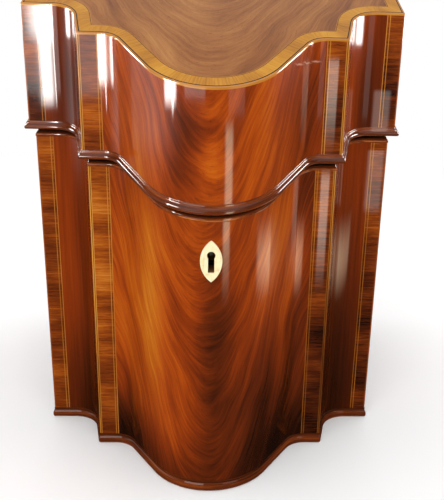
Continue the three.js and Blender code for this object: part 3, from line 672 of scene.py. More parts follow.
bone = solid_look("bone", [((1.6, 0.0, 0.12), 3.0), ((0.35, 0.0, 0.3),)], (0.4, 0.6),
                  [(0.25, (214, 184, 126)), (0.5, (243, 226, 180)), (0.8, (252, 240, 208))], (0.1, 0.0001),
                  Roughness=0.35, Specular_IOR_Level=0.5, Subsurface_Weight=0.1, Subsurface_Scale=0.001)
brass = solid_look("brass", [((0.25, 4.0, 4.0),), ((0.12, 0.12, 0.12), 4.0)], (0.0, 1.0),
                   [(0.3, (120, 88, 44)), (0.55, (182, 142, 76)), (0.8, (206, 170, 100))], (0.08, 0.0001),
                   rough=(0.3, 0.7, 0.45, 0.26), Metallic=1.0)
steel = solid_look("steel", [((0.3, 0.3, 0.3), 4.0)], (1.0,),
                   [(0.35, (74, 50, 36)), (0.5, (98, 92, 86)), (0.8, (138, 134, 128))], (0.2, 0.0001),
                   rough=(0.3, 0.6, 0.7, 0.38), Metallic=0.9)
baize = solid_look("baize", [((3.0, 3.0, 3.0), 4.0, 0.7), ((0.03, 0.03, 0.03), 3.0)], (0.5, 0.5),
                   [(0.3, (22, 52, 30)), (0.55, (38, 84, 50)), (0.75, (62, 106, 70))], (0.5, 0.0004),
                   Roughness=0.95, Specular_IOR_Level=0.1, Sheen_Weight=0.4, Sheen_Roughness=0.5)

# Front and side veneers

VENEER = 1.0
KEYHOLE_HEIGHT = PART_HEIGHT - 24.5
LENS_CENTRE = KEYHOLE_HEIGHT - 3.2
LENS_HALF = (6.0, 11.6)         # half width and half height of the bone lens
LENS_OPENING = (6.1, 11.75)     # the same of the hole for it in the veneer
BASE_HEIGHT = 6.8
RIM_HEIGHT = 6.2
LIP_GAP, LIP_HEIGHT = 0.3, 4.6
STRING = 1.1                    # width and height of the string along the lid's top edge
TINY = 1e-6

# Each piece of a front holds these kinds of strips, one to a material
PIECE_KINDS = {"flame": ["flame", "plain"], "crossbanding": ["band", "edge"],
               "stringing": ["boxwood", "dark"]}


def front_faces(prefix, body, faces, planes, materials, node, opening=None):
    """The flame field, crossbanding and stringing of one front, each as its own closed pieces."""
    cells = front_cells(faces[0])
    borders = [s for cell in cells for s in cell[:2]]
    half = stations((BOW, 0.0), (EDGE, 1.0), borders)
    runs = arch_run(whole(half), faces[0])
    for word, kinds in PIECE_KINDS.items():
        piece = Piece()
        for start, end, kind in cells:
            if kind not in kinds:
                continue
            places = [s for s in half if start <= s <= end]
            if start == (BOW, 0.0) and opening:
                lens_field(piece, places, faces, planes, opening)
            elif start == (BOW, 0.0):
                skin_piece(piece, whole(places), faces, planes, runs)
            else:
                for side in (-1, 1):
                    skin_piece(piece, [(side, *s) for s in places], faces, planes, runs, kinds.index(kind))
        looks = [materials[kind] for kind in kinds]
        slot_name = "boxwood" if word == "stringing" else "mahogany"
        piece.build(f"{prefix}_{word}", body, looks, slot_name, [node] if word == "flame" else ())


def lens_radius(half_width, half_height):
    """Radius of the two arcs of a lens."""
    return (half_width ** 2 + half_height ** 2) / (2 * half_width)


def lens_half_height(x, opening):
    radius = lens_radius(*opening)
    reach = radius - opening[0] + abs(x)
    return math.sqrt(max(0.0, radius ** 2 - reach ** 2))


def lens_field(piece, places, faces, planes, opening):
    """The flame field over a right half's stations, with a lens-shaped opening in the bow."""
    half_width = opening[0]
    (outer, inner), (under, over) = faces, planes
    turn = math.asin(half_width / (BOW_RADIUS + outer)) / BOW_ANGLE
    steps = 12
    inside = {(BOW, turn * math.sin(math.pi / 2 * k / steps)) for k in range(steps + 1)}
    places = whole(sorted(inside | {s for s in places if s > (BOW, turn)}))
    line = Line(places)
    front, back = line.at(outer), line.at(inner)
    u_at = arch_run(places, outer)
    lifts = [lens_half_height(x, opening) if abs(x) < half_width - TINY else 0.0 for x, _, _, _ in front]
    within = [abs(x) <= half_width + TINY for x, _, _, _ in front]
    sides = []
    for points in (front, back):
        foot, head = piece.ring_on(points, under), piece.ring_on(points, over)
        lower, upper = {}, {}
        for i, (x, y, _, _) in enumerate(points):
            if within[i]:
                lower[i] = upper[i] = piece.ring([(x, y, LENS_CENTRE - lifts[i])])[0]
                if lifts[i] > TINY / 2:
                    upper[i] = piece.ring([(x, y, LENS_CENTRE + lifts[i])])[0]
        sides.append((foot, head, lower, upper))

    def field_face(corners, outside):
        """A face of (station, vertex) corners, smooth on the outside."""
        grain = [(u_at[places[i]], piece.points[vertex][2]) for i, vertex in corners]
        ways = [(front[i][2], front[i][3], 0.0) for i, _ in corners] if outside else None
        piece.face([vertex for _, vertex in corners], grain, ways)

    for foot, head, lower, upper in sides:
        outside = foot is sides[0][0]
        for i in range(len(places) - 1):
            j = i + 1
            if within[i] and within[j]:
                field_face([(i, foot[i]), (j, foot[j]), (j, lower[j]), (i, lower[i])], outside)
                field_face([(i, upper[i]), (j, upper[j]), (j, head[j]), (i, head[i])], outside)
                continue
            corners = [(i, foot[i]), (j, foot[j])]
            if within[j]:
                corners.append((j, lower[j]))
            corners += [(j, head[j]), (i, head[i])]
            if within[i]:
                corners.append((i, lower[i]))
            field_face(corners, outside)
    for i in range(len(places) - 1):
        edges = 4 if within[i] and within[i + 1] else 2
        for a, b in list(zip(*sides))[:edges]:
            piece.face([a[i], a[i + 1], b[i + 1], b[i]])
    (foot_a, head_a, *_), (foot_b, head_b, *_) = sides
    for end in (0, -1):
        piece.face([foot_a[end], head_a[end], head_b[end], foot_b[end]])


def side_skins(name, body, faces, planes, node):
    """Both sides' veneers, from behind the front's rounded edge to the back."""
    outer, inner = faces
    for side, word in ((-1, "left"), (1, "right")):
        piece = Piece()
        corners = []
        for off, plane in ((outer, planes[0]), (outer, planes[1]), (inner, planes[1]), (inner, planes[0])):
            x = side * (BODY_HALF + off)
            corners.append(piece.ring_on([(x, SOFT - outer), (x, WING_DEPTH)], plane))
        for a, b in zip(corners, corners[1:] + corners[:1]):
            piece.face([a[0], a[1], b[1], b[0]])
        piece.ends(corners)
        piece.build(name.format(word), body, [side_wood], "mahogany", [node.format(word)])


front_looks = {"flame": body_flame, "plain": wing_wood, "band": band_wood, "edge": edge_wood,
               "boxwood": body_string, "dark": dark_line}
lid_looks = {**front_looks, "flame": lid_flame, "plain": lid_wing_wood, "band": lid_band_wood,
             "boxwood": boxwood}
body_skin = ((0.0, -VENEER), (level(BASE_HEIGHT), parting(-RIM_HEIGHT)))
lid_skin = ((OVERHANG, OVERHANG - VENEER), (parting(LIP_GAP + LIP_HEIGHT), lid_top(-STRING)))
front_faces("front_veneer", "carcase", *body_skin, front_looks, "front_veneer", LENS_OPENING)
front_faces("lid_veneer", "lid", *lid_skin, lid_looks, "lid_front_veneer")
side_skins("{}_side_veneer_skin", "carcase", *body_skin, "{}_side_veneer")
side_skins("lid_{}_veneer_skin", "lid", *lid_skin, "lid_{}_veneer")

# Mouldings: (outwards, share of the height)

BASE_BEAD = [(0.2, 0), (0.8, 0.06), (1.1, 0.18), (1.2, 0.35), (1, 0.53), (0.6, 0.68), (0.3, 0.75), (0.3, 1)]
LIP_BEAD = [(1.1, 0), (1.95, 0.08), (2.4, 0.23), (2.4, 0.38), (2, 0.53), (1.35, 0.63), (0.8, 0.7),
            (0.45, 0.8), (0.3, 0.93), (0, 1)]
RIM_HOLLOW = [(0.15, 0), (0.3, 0.1), (0.28, 0.22), (-0.25, 0.36), (-1.05, 0.52), (-1.42, 0.72), (-1.5, 1)]
MOULD_SOFT, RIM_SOFT = 0.8, 0.5
MOULD_ANGLE, STRING_ANGLE = 38, 50      # degrees up to which neighbouring faces are shaded as one


def smoothed(profile, sharp=(), furthest=math.inf, steps=4):
    """Points through a profile, curved except at its sharp ones, and held back to the furthest reach."""
    out = []
    last = len(profile) - 1
    for i in range(last):
        b, c = profile[i], profile[i + 1]
        a = profile[i - 1] if i > 0 and i not in sharp else b
        d = profile[i + 2] if i + 2 <= last and i + 1 not in sharp else c
        for k in range(steps):
            t = k / steps
            out.append(tuple(
                0.5 * (2 * q + (r - p) * t + (2 * p - 5 * q + 4 * r - s) * t * t
                       + (3 * q - p - 3 * r + s) * t ** 3)
                for p, q, r, s in zip(a, b, c, d)))
    out.append(profile[last])
    return [(min(outwards, furthest), share) for outwards, share in out]


def moulding(name, body, profile, face, plane, low, height, node, material):
    """A moulding in a front length and two side lengths that meet in the middle of the rounded edges."""
    edge = (EDGE, 0.5)
    side_half = stations(edge, (SIDE, 1.0))
    lengths = {"front": whole(stations((BOW, 0.0), edge)), "left": [(-1, *s) for s in side_half],
               "right": [(1, *s) for s in side_half]}
    inner = face - VENEER
    points = [(inner, 0.0)] + [(face + out, share) for out, share in profile] + [(inner, 1.0)]
    depth = [-2.0, 0.0]
    for (a, b), (c, d) in zip(points[1:], points[2:] + points[:1]):
        depth.append(depth[-1] + math.hypot(c - a, (d - b) * height))
    for word, places in lengths.items():
        piece = Piece()
        line = Line(places, MOULD_SOFT)
        run = line.run(face)
        rings = [piece.ring_on(line.at(off), plane(low + share * height)) for off, share in points]
        for k in range(len(rings)):
            grain = [[(r, depth[j]) for r in run] for j in (k, k + 1)]
            piece.strip(rings[k], rings[(k + 1) % len(rings)], *grain)
        piece.ends(rings)
        piece.build(name.format(word), body, [material], "dark_mahogany", [node.format(word)],
                    smooth_angle=MOULD_ANGLE)


moulding("base_moulding_{}_run", "carcase", smoothed(BASE_BEAD, sharp=(6,)), 0.0, level, 0.0, BASE_HEIGHT,
         "base_moulding_{}", base_wood)
moulding("lid_moulding_{}_run", "lid", smoothed(LIP_BEAD, furthest=max(LIP_BEAD)[0]), OVERHANG, parting,
         LIP_GAP, LIP_HEIGHT, "lid_moulding_{}", lip_wood)

# Rim: hollowed outside, flat on top, filled out to a flat inside the bow with the lock's notch in it

FRONT_INSIDE = -10.0
SIDE_INSIDE = BODY_HALF + FRONT_INSIDE
BOW_BACK = 58.0
NOTCH_HALF, NOTCH_FRONT = 23.75, -70.25
CLOSE = 0.01


def inside_half(off, flat_y, side_x):
    """The right half of the line inside the front: flat across the bow, then as the plan line to a side."""
    places = [(1, *s) for s in stations((BOW, 0.0), (WING, 1.0))]
    line = [(x, y) for x, y, _, _ in Line(places, 0.0).at(off)]
    found = []
    for a, b in zip(line, line[1:]):
        if a[1] <= flat_y < b[1]:
            found.append(lerp(a, b, (flat_y - a[1]) / (b[1] - a[1])))
        if b[1] > flat_y and b[0] < side_x:
            found.append(b)
        elif found and a[0] < side_x <= b[0]:
            found.append(lerp(a, b, (side_x - a[0]) / (b[0] - a[0])))
    return [b for a, b in zip([(0.0, 0.0)] + found, found) if math.dist(a, b) > CLOSE]


def rim_front():
    piece = Piece()
    line = Line(whole(stations((BOW, 0.0), (EDGE, 0.5))), RIM_SOFT)
    profile = smoothed(RIM_HOLLOW, furthest=max(RIM_HOLLOW)[0])
    rings = [piece.ring_on(line.at(out), parting((share - 1) * RIM_HEIGHT)) for out, share in profile]
    run, depth = line.run(0.0), 0.0
    for low, high, (a, b), (c, d) in zip(rings, rings[1:], profile, profile[1:]):
        step = math.hypot(c - a, (d - b) * RIM_HEIGHT)
        piece.strip(low, high, [(r, depth) for r in run], [(r, depth + step) for r in run])
        depth += step
    notch = [(NOTCH_HALF, NOTCH_FRONT), (NOTCH_HALF, -BOW_BACK)]
    right = notch + inside_half(FRONT_INSIDE, -BOW_BACK, SIDE_INSIDE)
    path = [(-x, y) for x, y in reversed(right)] + right
    low, high = [piece.ring_on(path, parting(rise)) for rise in (-RIM_HEIGHT, 0.0)]
    piece.strip(low, high)
    piece.face(rings[0] + low[::-1])
    piece.face(rings[-1] + high[::-1])
    for end in (0, -1):
        piece.face([r[end] for r in rings] + [high[end], low[end]])
    piece.build("rim_front_run", "carcase", [moulding_wood], "dark_mahogany", ["rim_front"],
                smooth_angle=MOULD_ANGLE)


rim_front()

# Lid top: bands between two offsets from the body's face, from the edge inwards

TOP_THICKNESS = 1.5
TOP_NORMAL = (0.0, -math.sin(TOP_ANGLE), math.cos(TOP_ANGLE))
TOP_BANDS = [("dark", OVERHANG - STRING, 1.25), ("band", 1.25, -5.6), ("dark", -5.6, -5.9),
             ("boxwood", -5.9, -6.25)]
# The edge string's section, rounded at its outer arris: (offset, rise)
STRING_SECTION = [(OVERHANG, -STRING), (OVERHANG, -0.3), (OVERHANG - 0.09, -0.09), (OVERHANG - 0.3, 0.0),
                  (OVERHANG - STRING, 0.0), (OVERHANG - STRING, -STRING)]


def lid_outline(off, soft=SOFT):
    """The top's outline at an offset: the front from left to right, and the ends of the back edge."""
    back = WING_DEPTH - (OVERHANG - STRING - off)
    points = Line(whole(stations((BOW, 0.0), (SIDE, 1.0))), soft).at(off)
    return [(x, min(y, back)) for x, y, _, _ in points]


def closed_run(outline):
    """Distances along a closed outline, back to its first point."""
    run = [0.0]
    for a, b in zip(outline, outline[1:] + outline[:1]):
        run.append(run[-1] + math.dist(a, b))
    return run


def top_ring(piece, outer, inner, slot):
    """A flat band between two offsets of the lid's outline."""
    rings = [[piece.ring_on(lid_outline(off), lid_top(rise)) for rise in (0.0, -TOP_THICKNESS)]
             for off in (outer, inner)]
    run = closed_run(lid_outline(outer))
    (top_out, low_out), (top_in, low_in) = rings
    near, far = [[(across, r) for r in run] for across in (0.0, outer - inner)]
    piece.strip(top_out, top_in, near, far, [TOP_NORMAL] * len(top_out), slot, closed=True)
    piece.strip(low_out, low_in, near, far, None, slot, closed=True)
    piece.strip(top_out, low_out, near, near, None, slot, closed=True)
    piece.strip(top_in, low_in, far, far, None, slot, closed=True)


def top_field():
    field = Piece()
    outline = lid_outline(TOP_BANDS[-1][2], 0.0)
    top, low = [field.ring_on(outline, lid_top(rise)) for rise in (0.0, -TOP_THICKNESS)]
    grain = [(x, y / math.cos(TOP_ANGLE)) for x, y in outline]
    field.face(top, grain, [TOP_NORMAL] * len(top))
    field.face(low, grain)
    field.strip(top, low, closed=True)
    field.build("lid_top_flame", "lid", [top_flame], "mahogany", ["lid_top_veneer"])


def edge_string():
    string = Piece()
    line = Line(whole(stations((BOW, 0.0), (SIDE, 1.0))))
    run = [(0.0, r) for r in line.run(OVERHANG)]
    rings = [string.ring_on(line.at(off), lid_top(rise)) for off, rise in STRING_SECTION]
    for low, high in zip(rings, rings[1:] + rings[:1]):
        string.strip(low, high, run, run)
    string.ends(rings)
    string.build("lid_edge_stringing", "lid", [boxwood], "boxwood", ["lid_edge_string"],
                 smooth_angle=STRING_ANGLE)


def lid_top_pieces():
    bands, lines = Piece(), Piece()
    for kind, outer, inner in TOP_BANDS:
        top_ring(bands if kind == "band" else lines, outer, inner, int(kind == "boxwood"))
    bands.build("lid_top_crossbanding", "lid", [top_band], "mahogany")
    lines.build("lid_top_stringing", "lid", [dark_line, boxwood], "boxwood")
    top_field()
    edge_string()


lid_top_pieces()

# Knife board: boxwood round every slot, and a line along its border

BOARD_DROP = 14.0
SLOT_ROWS = [(158.0, 6, 31.0, 5.5, 25.0), (110.5, 6, 31.0, 5.5, 25.0), (63.0, 6, 31.0, 8.0, 17.0),
             (15.5, 4, 44.0, 13.0, 22.0), (-32.0, 1, 0.0, 16.0, 24.0)]    # y, count, pitch, width, length
SLOT_STRING = (-0.06, 1.0)      # from a slot's wall outwards
BORDER_STRING = (7.9, 6.9)      # from the board's edge inwards
INLAY_PROUD, INLAY_DEEP = 0.08, 0.5
BACK_BOARD = 9.0


def inlay(piece, inner, outer):
    """A closed string let into the knife board between two outlines with as many corners."""
    proud, deep = parting(INLAY_PROUD - BOARD_DROP), parting(-INLAY_DEEP - BOARD_DROP)
    rings = [piece.ring_on(outline, plane)
             for outline, plane in ((inner, proud), (outer, proud), (outer, deep), (inner, deep))]
    run = closed_run(outer)
    grain = [[(width, r) for r in run] for width in (0.0, 1.0, 1.0, 0.0)]
    for k in range(4):
        piece.strip(rings[k], rings[(k + 1) % 4], grain[k], grain[(k + 1) % 4], closed=True)


def board_stringing():
    piece = Piece()
    for y, count, pitch, width, length in SLOT_ROWS:
        for i in range(count):
            x = (i - (count - 1) / 2) * pitch
            frames = [[(x + sx * (width / 2 + grow), y + sy * (length / 2 + grow))
                       for sx, sy in ((-1, -1), (1, -1), (1, 1), (-1, 1))] for grow in SLOT_STRING]
            inlay(piece, *frames)
    outlines = []
    for inset in BORDER_STRING:
        half = inside_half(FRONT_INSIDE - inset, inset - BOW_BACK, SIDE_INSIDE - inset)
        back = WING_DEPTH - BACK_BOARD - inset
        outlines.append([(-x, y) for x, y in reversed(half)] + half
                        + [(SIDE_INSIDE - inset, back), (inset - SIDE_INSIDE, back)])
    inlay(piece, *outlines)
    piece.build("knife_board_stringing", "carcase", [boxwood], "boxwood")


board_stringing()

# Escutcheon: a lens of bone that stands a little proud of the bow, with the keyhole through it

BONE_BACK, BONE_EDGE, BONE_FACE = -0.8, 0.1, 0.25
BONE_CHAMFER = (0.2, 0.4)
KEYHOLE_RADIUS, KEYHOLE_SLOT, KEYHOLE_FOOT = 2.3, 3.4, 9.5


def keyhole_outline(steps=28):
    half = KEYHOLE_SLOT / 2
    opening = math.asin(half / KEYHOLE_RADIUS)
    points = [(half, KEYHOLE_HEIGHT - KEYHOLE_FOOT)]
    for i in range(steps + 1):
        angle = opening - math.pi / 2 + (2 * math.pi - 2 * opening) * i / steps
        points.append((KEYHOLE_RADIUS * math.cos(angle), KEYHOLE_HEIGHT + KEYHOLE_RADIUS * math.sin(angle)))
    return points + [(-half, KEYHOLE_HEIGHT - KEYHOLE_FOOT)]


def lens_outline(half_width, half_height, steps=24):
    radius = lens_radius(half_width, half_height)
    reach = math.asin(half_height / radius)
    points = []
    for side in (1, -1):
        for i in range(steps):
            angle = (-reach + 2 * reach * i / steps) * side
            points.append((side * (half_width - radius + radius * math.cos(angle)),
                           LENS_CENTRE + radius * math.sin(angle)))
    return points


def bow_at(x, off):
    """Plan y and outward way of the bow's face over x."""
    radius = BOW_RADIUS + off
    y = BOW_RADIUS - BOW_REACH - math.sqrt(radius ** 2 - x ** 2)
    return y, (x / radius, -math.sqrt(1 - (x / radius) ** 2), 0.0)


def bridge(piece, ring_a, ring_b, smooth):
    """Triangles between two closed rings, walked round by bearing from the lens's middle."""
    def bearing(vertex):
        x, _, z = piece.points[vertex]
        return math.atan2(z - LENS_CENTRE, x) % (2 * math.pi)

    def ordered(ring):
        first = min(range(len(ring)), key=lambda i: bearing(ring[i]))
        walk = ring[first:] + ring[:first]
        area = sum(piece.points[p][0] * piece.points[q][2] - piece.points[q][0] * piece.points[p][2]
                   for p, q in zip(walk, walk[1:] + walk[:1]))
        return walk if area > 0 else [walk[0]] + walk[:0:-1]

    def reached(ring, i):
        return bearing(ring[(i + 1) % len(ring)]) + (2 * math.pi if i + 1 >= len(ring) else 0)

    a, b = ordered(ring_a), ordered(ring_b)
    i = j = 0
    while i < len(a) or j < len(b):
        if j >= len(b) or (i < len(a) and reached(a, i) <= reached(b, j)):
            corners = [a[i % len(a)], a[(i + 1) % len(a)], b[j % len(b)]]
            i += 1
        else:
            corners = [a[i % len(a)], b[(j + 1) % len(b)], b[j % len(b)]]
            j += 1
        ways = [bow_at(piece.points[v][0], BONE_FACE)[1] for v in corners] if smooth else None
        piece.face(corners, None, ways)


def bone_escutcheon():
    """Face, chamfered edge, back and the keyhole's wall."""
    piece = Piece()
    outer = lens_outline(*LENS_HALF)
    inset = lens_outline(*[half - cut for half, cut in zip(LENS_HALF, BONE_CHAMFER)])
    hole = keyhole_outline()
    back, edge, face, mouth, throat = [
        piece.ring([(x, bow_at(x, off)[0], z) for x, z in points])
        for points, off in ((outer, BONE_BACK), (outer, BONE_EDGE), (inset, BONE_FACE), (hole, BONE_FACE),
                            (hole, BONE_BACK))]
    for low, high in ((back, edge), (edge, face), (mouth, throat)):
        piece.strip(low, high, closed=True)
    bridge(piece, face, mouth, smooth=True)
    bridge(piece, back, throat, smooth=False)
    piece.build("escutcheon_lens", "carcase", [bone], "bone", ["escutcheon"])


bone_escutcheon()

# The solids that the scene doesn't replace

def node_look(name):
    if "hinge" in name or "_screw" in name or name in ("lock_plate", "lock_link_plate"):
        return brass
    if name.startswith("lock_"):
        return steel
    if name == "floor_lining":
        return baize
    if name in ("back_board", "lid_back_board"):
        return back_wood
    return board_wood if name.startswith("rim") or name == "knife_board" else carcase_wood


for name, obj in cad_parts.items():
    if obj.hide_render:
        continue
    if not obj.material_slots:
        obj.data.materials.append(node_look(name))
    for material_slot in obj.material_slots:
        material_slot.material = node_look(name)

# Floor, and the glowing cards and tent that only reflections see

FLOOR = 9000.0
FLOOR_SHADES = [(0.97, 0.97, 0.97), (0.985, 0.985, 0.985)]
FLOOR_FADE = (350.0, 1500.0)    # where the floor turns into the white background, from the box's middle
TENT = 2600.0                   # radius of the tent that only reflections see
TENT_LIGHTS = [((-0.5, 0.75), (0.5, 0.2), 1.5), ((0.45, 0.75), (0.4, 0.2), 1.2)]    # spot, radiance
HAZE_BEARING, HAZE_HALF, HAZE_RADIANCE = -1.5, 0.9, 1.1      # the pale wall on the left
BACK_GLOW, BACK_RISE = (300.0, 1600.0, 0.0, 0.3), (0.3, 0.6)  # by place to the back, and by height
OVERHEAD_RISE, OVERHEAD_RADIANCE = (0.86, 0.96), 0.8
HAZE_FALL, TENT_DARK, CLOTH_DARK = (0.4, 0.05), 0.02, 0.006
CLOTH_START = 800.0
WHITE, PALE, CREAM = (1.0, 0.97, 0.94), (1.0, 0.95, 0.85), (1.0, 0.95, 0.8)
# Glowing cards that only reflections see, each a painted highlight on the polish: name, middle, bearing,
# width, heights, radiance, colour, and the soft shares at the sides, the foot and the head
CARDS = [
    ("card_wing", (-143.6, -153.0), 15.6, 12.0, (206.0, 330.0), 30.0, WHITE, (0.15, 0.12, 0.05)),
    ("card_hollow", (-64.4, -40.0), 0.0, 2.5, (228.0, 262.0), 30.0, WHITE, (0.2, 0.3, 0.15)),
    ("card_bow", (-31.8, -84.6), 42.0, 13.0, (219.0, 243.0), 32.0, WHITE, (0.25, 0.5, 0.02)),
    ("card_tall", (38.0, -150.0), 0.0, 27.0, (84.0, 216.0), 5.4, (1.0, 0.93, 0.64), (0.3, 0.5, 0.12)),
    ("card_flat", (67.8, -37.0), 0.0, 7.0, (192.0, 251.0), 5.0, CREAM, (0.15, 0.65, 0.1)),
    ("card_band", (67.5, -34.0), 0.0, 6.4, (104.0, 187.0), 5.0, (1.0, 0.94, 0.8), (0.2, 0.6, 0.1)),
    ("card_side", (105.5, -1.5), 0.0, 13.0, (150.0, 195.0), 2.3, PALE, (0.2, 0.2, 0.05)),
    ("card_lid_side", (105.5, -4.5), 0.0, 13.0, (203.0, 233.0), 2.3, PALE, (0.2, 0.05, 0.1)),
    ("card_lip_left", (-190.0, 22.0), 90.0, 116.0, (262.0, 302.0), 40.0, WHITE, (0.25, 0.15, 0.2)),
    ("card_lip_right", (190.0, 10.0), -90.0, 140.0, (262.0, 302.0), 36.0, WHITE, (0.25, 0.15, 0.2)),
    ("card_lip_bow", (-140.0, -170.0), 52.0, 64.0, (258.0, 345.0), 26.0, WHITE, (0.3, 0.2, 0.2)),
    ("card_oval", (200.0, -42.0), -90.0, 146.0, (46.0, 130.0), 3.5, (1.0, 0.76, 0.5), (0.2, 0.48, 0.48)),
]


def stage_mesh(name, points, faces, material, reflect_only=True):
    """A mesh of the stage, in plan coordinates. Most of them are seen by reflections only."""
    mesh = bpy.data.meshes.new(name)
    mesh.from_pydata([to_scene(*p) for p in points], [], faces)
    mesh.materials.append(material)
    obj = bpy.data.objects.new(name, mesh)
    bpy.context.scene.collection.objects.link(obj)
    if reflect_only:
        for rays in ("camera", "diffuse", "shadow", "transmission"):
            setattr(obj, "visible_" + rays, False)
    return obj


def floor_material():
    """Matt pale paper near the box; further off it fades to the white of the room behind it."""
    s = Shader("pale_floor")
    x, y, _ = s.place()
    cloud = s.grain((x, y), (0.004, 0.004))
    s.set(Base_Color=s.mix(s.span(cloud, 0.3, 0.7), *FLOOR_SHADES), Roughness=0.9, Specular_IOR_Level=0.1)
    glow = s.times(s.background_rays(), s.span(s.distance(x, y), *FLOOR_FADE))
    return s.surface(s.make("MixShader", (glow, s.bsdf.outputs[0], s.make("Emission")[0]))[0])


def card_material(name, radiance, colour, soft):
    """Light from one side only, fading towards the card's edges."""
    s = Shader(name)
    across, up, _ = s.attribute("card")
    side, foot, head = soft
    sides = s.times(s.span(across, 0.0, side), s.span(across, 1.0, 1.0 - side))
    ends = s.times(s.span(up, 0.0, foot), s.span(up, 1.0, 1.0 - head))
    strength = s.times(s.times(sides, ends), radiance)
    glow = s.make("Emission", {"Strength": strength, "Color": (*colour, 1.0)})[0]
    clear = s.make("BsdfTransparent")[0]
    both = s.make("AddShader", (glow, clear))[0]
    return s.surface(s.make("MixShader", (s.make("NewGeometry")["Backfacing"], both, clear))[0])


def card(name, middle, facing, width, heights, *light):
    """A glowing upright card that only reflections see. It faces a bearing, 0 to the back and 90 to the
    right.
    """
    angle = math.radians(facing)
    corners = [(0.0, 0.0, 0.0), (1.0, 0.0, 0.0), (1.0, 1.0, 0.0), (0.0, 1.0, 0.0)]
    points = []
    for across, up, _ in corners:
        shift = (across - 0.5) * width
        points.append((middle[0] + shift * math.cos(angle), middle[1] - shift * math.sin(angle),
                       heights[int(up)]))
    obj = stage_mesh(name, points, [(0, 3, 2, 1)], card_material(name, *light))
    layer = obj.data.attributes.new("card", "FLOAT_VECTOR", "POINT")
    for entry, corner in zip(layer.data, corners):
        entry.vector = corner


def tent_material(name, strength_of):
    s = Shader(name)
    return s.surface(s.make("Emission", {"Strength": strength_of(s, *s.place())})[0])


def haze(s, x, y):
    """The bearing of a place, and the radiance of the pale wall there."""
    bearing = s.math("ARCTAN2", x, s.times(y, -1.0))
    aside = s.math("ABSOLUTE", s.math("SUBTRACT", bearing, HAZE_BEARING))
    return bearing, s.span(aside, HAZE_HALF, 0.0, 0.0, HAZE_RADIANCE)


def dome_strength(s, x, y, z):
    """Radiance of the dome: paler at the back and overhead, the pale wall, and the soft lights."""
    bearing, pale = haze(s, x, y)
    up = s.times(z, 1 / TENT)
    total = s.times(s.span(y, *BACK_GLOW), s.span(up, *BACK_RISE))
    total = s.math("MULTIPLY_ADD", s.span(up, *OVERHEAD_RISE), OVERHEAD_RADIANCE, total)
    total = s.math("MULTIPLY_ADD", pale, s.span(up, *HAZE_FALL), s.plus(total, TENT_DARK))
    for at, size, radiance in TENT_LIGHTS:
        total = s.math("MULTIPLY_ADD", s.spot(bearing, up, at, size), radiance, total)
    return total


def cloth_strength(s, x, y, _):
    far = s.span(s.distance(x, y), CLOTH_START, TENT)
    return s.math("MULTIPLY_ADD", haze(s, x, y)[1], far, CLOTH_DARK)


def light_tent(around=48, up=10):
    """A dim tent with a few soft lights around the box, and a dark cloth under it in the floor's place.
    Both are seen only in reflections.
    """
    points = []
    for k in range(up):
        height = math.pi / 2 * k / up
        for i in range(around):
            bearing = 2 * math.pi * i / around
            points.append((TENT * math.cos(height) * math.cos(bearing),
                           TENT * math.cos(height) * math.sin(bearing), 1.0 + TENT * math.sin(height)))
    top = len(points)
    faces = []
    for k in range(up):
        for i in range(around):
            j = (i + 1) % around
            low = (k * around + i, k * around + j)
            faces.append(low + ((k + 1) * around + j, (k + 1) * around + i) if k < up - 1 else low + (top,))
    stage_mesh("light_tent", points + [(0.0, 0.0, 1.0 + TENT)], faces,
               tent_material("light_tent", dome_strength))
    stage_mesh("dark_cloth", points[:around], [tuple(range(around))],
               tent_material("dark_cloth", cloth_strength))


stage_mesh("pale_floor", [(sx * FLOOR, sy * FLOOR, 0.0) for sx, sy in ((-1, -1), (1, -1), (1, 1), (-1, 1))],
           [(0, 1, 2, 3)], floor_material(), reflect_only=False)
light_tent()
for row in CARDS:
    card(*row)

# Lamps, world and camera

# Height and strength of the room as a lamp
WORLD_STOPS = [(0.0, (0.2,)), (0.15, (0.5,)), (0.35, (1.3,)), (0.75, (1.3,)), (0.9, (1.1,))]
LAMPS = [("key", (-700, -1500, 520), (-40, -40, 180), (900, 700), 2.6, (1.0, 0.98, 0.95)),
         ("fill", (900, -1400, 420), (40, -40, 170), (700, 600), 0.8, (1.0, 0.96, 0.92))]
CAMERA = (3.8, -387.5, 237.0)
PITCH, YAW, ROLL = math.radians(15.75), math.radians(2.37), math.radians(-1.37)
SENSOR, LENS_LENGTH = 36.0, 43.2
CAMERA_SHIFT = (-0.0408, -0.0048)


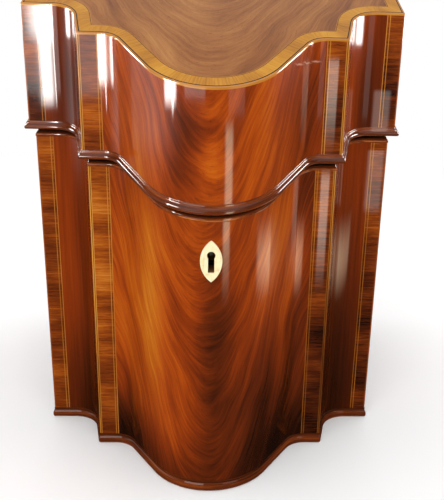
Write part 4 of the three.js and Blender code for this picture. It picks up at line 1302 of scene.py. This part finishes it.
def area_light(name, place, aim, size, radiance, colour):
    """A soft lamp of a given radiance, placed in plan coordinates."""
    data = bpy.data.lights.new(name, "AREA")
    data.shape = "RECTANGLE"
    data.size, data.size_y = size[0] * MM, size[1] * MM
    data.energy = radiance * math.pi * data.size * data.size_y
    data.color = colour
    obj = bpy.data.objects.new(name, data)
    obj.location = to_scene(*place)
    obj.rotation_mode = "QUATERNION"
    obj.rotation_quaternion = (Vector(aim) - Vector(place)).to_track_quat("-Z", "Y")
    obj.visible_camera = False
    bpy.context.scene.collection.objects.link(obj)


def studio_world():
    """A white background. As a lamp the room is dim at eye level and paler above."""
    world = bpy.data.worlds.new("studio")
    bpy.context.scene.world = world
    world.use_nodes = True
    room = Nodes(world.node_tree)
    height = room.parts(room.make("TexCoord")["Generated"])[2]
    lamp = room.ramp(height, WORLD_STOPS, colour_of=lambda strength: (strength, strength, strength))
    sight = {"Factor": room.background_rays(), "A": lamp, "B": 1.0}
    background = room.tree.nodes["Background"]
    room.put(background.inputs["Strength"], room.make("Mix", sight)[0])
    background.inputs["Color"].default_value = (1.0, 1.0, 1.0, 1.0)


def add_camera():
    """The camera at the photograph's angle, turned by its yaw, pitch and roll."""
    forward = Vector((math.sin(YAW) * math.cos(PITCH), math.cos(YAW) * math.cos(PITCH), -math.sin(PITCH)))
    right = Vector((math.cos(YAW), -math.sin(YAW), 0.0))
    down = forward.cross(right)
    turned_right = math.cos(ROLL) * right + math.sin(ROLL) * down
    turned_down = -math.sin(ROLL) * right + math.cos(ROLL) * down
    data = bpy.data.cameras.new("camera")
    data.sensor_width = SENSOR
    data.lens = LENS_LENGTH
    data.shift_x, data.shift_y = CAMERA_SHIFT
    data.clip_start = 0.01
    camera = bpy.data.objects.new("camera", data)
    turn = Matrix((turned_right, -turned_down, -forward)).transposed()
    camera.matrix_world = Matrix.Translation(to_scene(*CAMERA)) @ turn.to_4x4()
    bpy.context.scene.collection.objects.link(camera)
    bpy.context.scene.camera = camera


studio_world()
for lamp in LAMPS:
    area_light(*lamp)
add_camera()
bpy.context.scene.view_settings.view_transform = "Standard"
